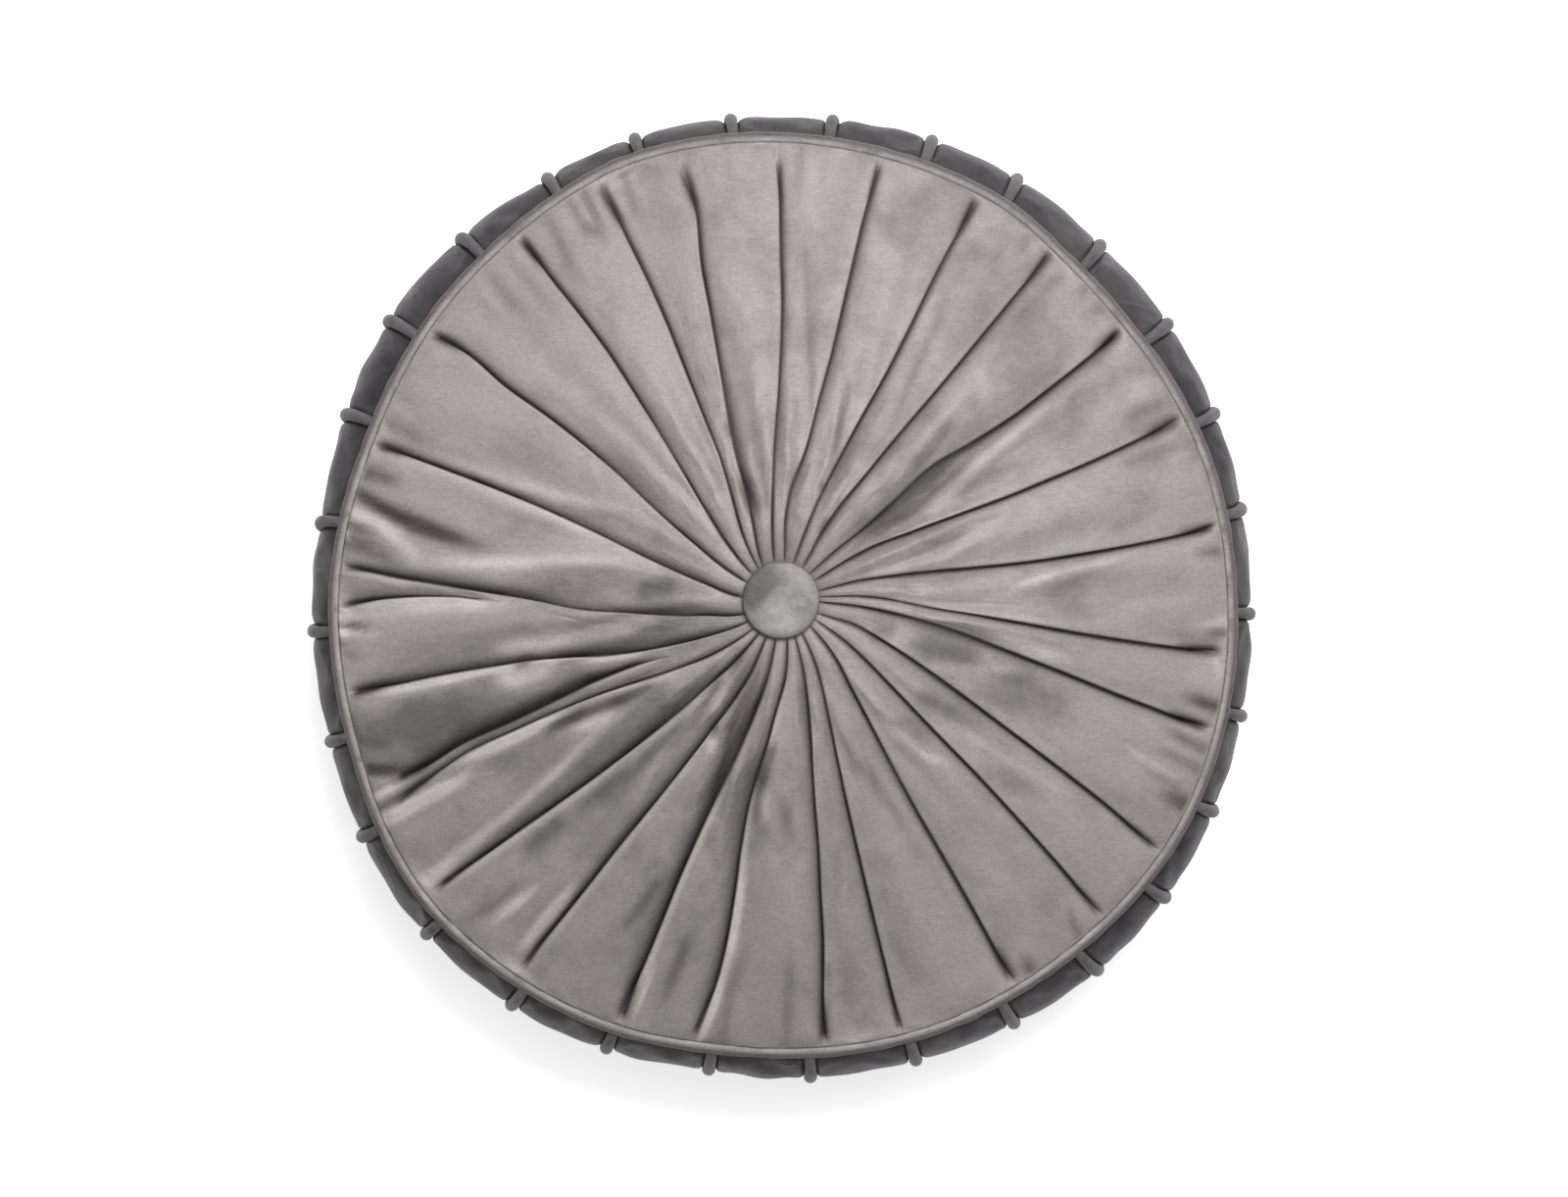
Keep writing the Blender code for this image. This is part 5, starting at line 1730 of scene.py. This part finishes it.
@dataclass
class CoveredButton:
    """The covered button: a domed shell with the cloth drawn tight over it."""

    finish: Velvet
    profile: tuple[Pair, ...] = (  # radius and height over the seat, mm
        (19.5, 0.0), (22.6, 2.0), (24.2, 4.6), (24.6, 6.4), (24.0, 8.3), (22.0, 10.1), (18.0, 11.7), (12.0, 13.0),
        (6.0, 13.6),
    )
    toned: tuple[tuple[Pair, float, float], ...] = (  # place, size and tone of each brushed stretch
        ((-0.010, 0.014), 0.011, -1.8), ((-0.019, 0.002), 0.008, -1.1), ((0.012, -0.002), 0.008, -0.4),
        ((0.001, -0.013), 0.012, 0.7), ((0.014, 0.012), 0.008, 0.4),
    )
    steps: int = 64
    cloth_width: float = 0.5  # scale of its cloth from side to side
    poke: float = 0.0002  # how far the middle of its top stands up
    low: float = 0.0068  # below this height its cloth lies in shade, and is gathered
    gathered_from: float = 0.018  # radius
    gathers: tuple[tuple[float, int, float], ...] = ((0.012, 40, 0.0), (0.006, 17, 1.0))  # depth, number and phase
    low_shade: float = 0.85
    rim: Triple = (0.8, 0.0245, 0.0005)  # the painted shade line round its edge: how dark, its radius and its width

    def build(self, base: float) -> bpy.types.Object:
        """Model the button from a disc.

        Args:
            base: Height of its underside.

        Returns:
            The button.
        """
        bpy.ops.object.select_all(action="DESELECT")
        radius, height = self.profile[0]
        bpy.ops.mesh.primitive_circle_add(vertices=self.steps, radius=radius / 1000, fill_type="NGON",
                                          location=(0, 0, base + height / 1000))
        made = bpy.context.object
        bpy.ops.object.mode_set(mode="EDIT")
        bpy.ops.mesh.select_all(action="SELECT")
        for (r0, h0), (r1, h1) in zip(self.profile, self.profile[1:]):
            bpy.ops.mesh.extrude_region_move(TRANSFORM_OT_translate={"value": (0, 0, (h1 - h0) / 1000)})
            bpy.ops.transform.resize(value=(r1 / r0, r1 / r0, 1.0), center_override=(0, 0, base))
        bpy.ops.mesh.poke(offset=self.poke)
        bpy.ops.mesh.select_all(action="SELECT")
        bpy.ops.mesh.normals_make_consistent(inside=False)
        bpy.ops.object.mode_set(mode="OBJECT")
        bpy.ops.object.transform_apply(location=True, rotation=True, scale=True)
        smooth = made.modifiers.new("Rounded", "SUBSURF")
        smooth.levels = smooth.render_levels = 2
        bpy.ops.object.modifier_apply(modifier=smooth.name)
        self._gather(made.data, base)
        made.name = made.data.name = "covered_button"
        made.data.shade_smooth()
        made.data.materials.append(self.finish.material())
        skin = Skin(made.name, self.finish, made.data.materials[0])
        return skin.hand_over(made, "button")

    def _gather(self, mesh: bpy.types.Mesh, base: float) -> None:
        """Pull the cloth's edge into small gathers under the rim, and mark each point's painted shade and pile tone.

        Args:
            mesh: The button's mesh.
            base: Height of its underside.
        """
        layer = mesh.uv_layers.active or mesh.uv_layers.new(name="cloth")
        layer.name = "cloth"
        for loop in mesh.loops:
            spot = mesh.vertices[loop.vertex_index].co
            layer.data[loop.index].uv = (spot.x * self.cloth_width, spot.y * CLOTH_SCALE)
        depth, _, tones = (mesh.attributes.new(name, "FLOAT", "POINT") for name in MARKS)
        for vertex in mesh.vertices:
            angle = math.atan2(vertex.co.y, vertex.co.x)
            low = 1.0 - min(1.0, max(0.0, (vertex.co.z - base) / self.low))
            if vertex.co.xy.length > self.gathered_from:
                pull = 1 + low * sum(deep * math.sin(angle * count + phase) for deep, count, phase in self.gathers)
                vertex.co.x *= pull
                vertex.co.y *= pull
            shade, radius, width = self.rim
            edge = shade * bell(vertex.co.xy.length - radius, width)
            depth.data[vertex.index].value = max(self.low_shade * low, edge)
            for spot, size, lie in self.toned:
                tones.data[vertex.index].value += lie * bell((vertex.co.xy - Vector(spot)).length, size)


# ---- The studio ----
@dataclass
class Studio:
    """A pale floor, soft lamps and a camera straight above."""

    camera_height: float = 2.3
    lens: float = 79.5
    aim: Pair = (0.0019, 0.00095)
    sensor: float = 36.0
    lamps: tuple[tuple[str, Triple, float, float], ...] = (  # name, place, size and power
        ("key", (0.46, 1.27, 2.2), 1.5, 58.0), ("overhead", (0.2, 0.45, 2.9), 2.4, 18.0),
    )
    room_light: float = 0.42
    floor_size: float = 9.0
    floor_shade: float = 0.93
    floor_roughness: float = 0.9
    floor_shine: float = 0.1
    floor_glow: float = 0.5  # a pale table lit from below

    def build(self) -> None:
        """Set up the camera, the lamps, the world's light and the floor."""
        scene = bpy.context.scene
        scene.view_settings.view_transform = "Standard"
        camera = bpy.data.objects.new("camera", bpy.data.cameras.new("camera"))
        camera.data.lens, camera.data.sensor_width = self.lens, self.sensor
        camera.location = (*self.aim, self.camera_height)
        scene.collection.objects.link(camera)
        scene.camera = camera
        for lamp in self.lamps:
            self._lamp(*lamp)
        world = bpy.data.worlds.new("soft_room")
        world.use_nodes = True
        light = world.node_tree.nodes["Background"]
        NodeBench(world.node_tree).wire(light, {"Color": WHITE, "Strength": self.room_light})
        scene.world = world
        self._floor()

    def _lamp(self, name: str, place: Triple, size: float, power: float) -> None:
        """Add a square soft lamp that faces the cushion.

        Args:
            name: Its name.
            place: Where it hangs.
            size: Its side, metres.
            power: Watts.
        """
        lamp = bpy.data.objects.new(name, bpy.data.lights.new(name, "AREA"))
        lamp.data.size, lamp.data.energy = size, power
        lamp.location = place
        lamp.rotation_euler = (-Vector(place)).to_track_quat("-Z", "Y").to_euler()
        bpy.context.scene.collection.objects.link(lamp)

    def _floor(self) -> None:
        """Add the floor, a plane under the cushion."""
        bpy.ops.object.select_all(action="DESELECT")
        bpy.ops.mesh.primitive_plane_add(size=self.floor_size, location=(0, 0, 0))
        floor = bpy.context.object
        floor.name = floor.data.name = "floor"
        made = bpy.data.materials.new("pale_floor")
        made.use_nodes = True
        NodeBench(made.node_tree).wire(made.node_tree.nodes["Principled BSDF"], {
            "Base Color": (self.floor_shade,) * 3 + (1.0,), "Roughness": self.floor_roughness,
            "Specular IOR Level": self.floor_shine, "Emission Color": WHITE, "Emission Strength": self.floor_glow})
        floor.data.materials.append(made)


def main() -> None:
    """Build the cushion and its studio, piece by piece."""
    logging.basicConfig(level=logging.INFO, format="%(name)s: %(message)s")
    sizes = CushionSizes()
    wall = SideWall(sizes)
    piping = Velvet("seam_piping_cloth", "seam_piping", light=(0.37, 0.349, 0.335), dark=(0.2, 0.188, 0.182),
                    streakiness=0.0, fineness=2.6, roughness=0.8, satin=0.0, sheen=0.05)
    # The ribs are painted far darker than the welts' piping: painted shade of the upright side wall.
    upright = Velvet("wall_piping_cloth", "wall_piping", light=(0.13, 0.124, 0.128), dark=(0.062, 0.059, 0.063),
                     streakiness=0.0, fineness=2.0, roughness=0.68, satin=0.05, sheen=0.12)
    covered = Velvet("button_velvet_cloth", "button_velvet", light=(0.335, 0.314, 0.3), dark=(0.2, 0.187, 0.18),
                     streakiness=0.0, fineness=2.0, roughness=0.7, satin=0.0)
    Studio().build()
    LOG.info("studio built")
    cover = CushionCover(sizes, PleatedFace(sizes), wall, PlainBack(sizes)).build()
    LOG.info("%s: %d faces", cover.name, len(cover.data.polygons))
    for name, seam, seed, joins in (("top_welt_cord", Seam.TOP, 3, (1.5, 181.0)),
                                    ("bottom_welt_cord", Seam.BOTTOM, 4, (96.0,))):
        welt = Welt(name, seam, sizes, seed, joins, piping).build()
        LOG.info("%s: %d faces", welt.name, len(welt.data.polygons))
    ribs = RibSet(sizes, wall, upright).build()
    LOG.info("%d ribs", len(ribs))
    button = CoveredButton(covered).build(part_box("button")[0][2])
    LOG.info("%s: %d faces", button.name, len(button.data.polygons))


if __name__ == "__main__":
    main()
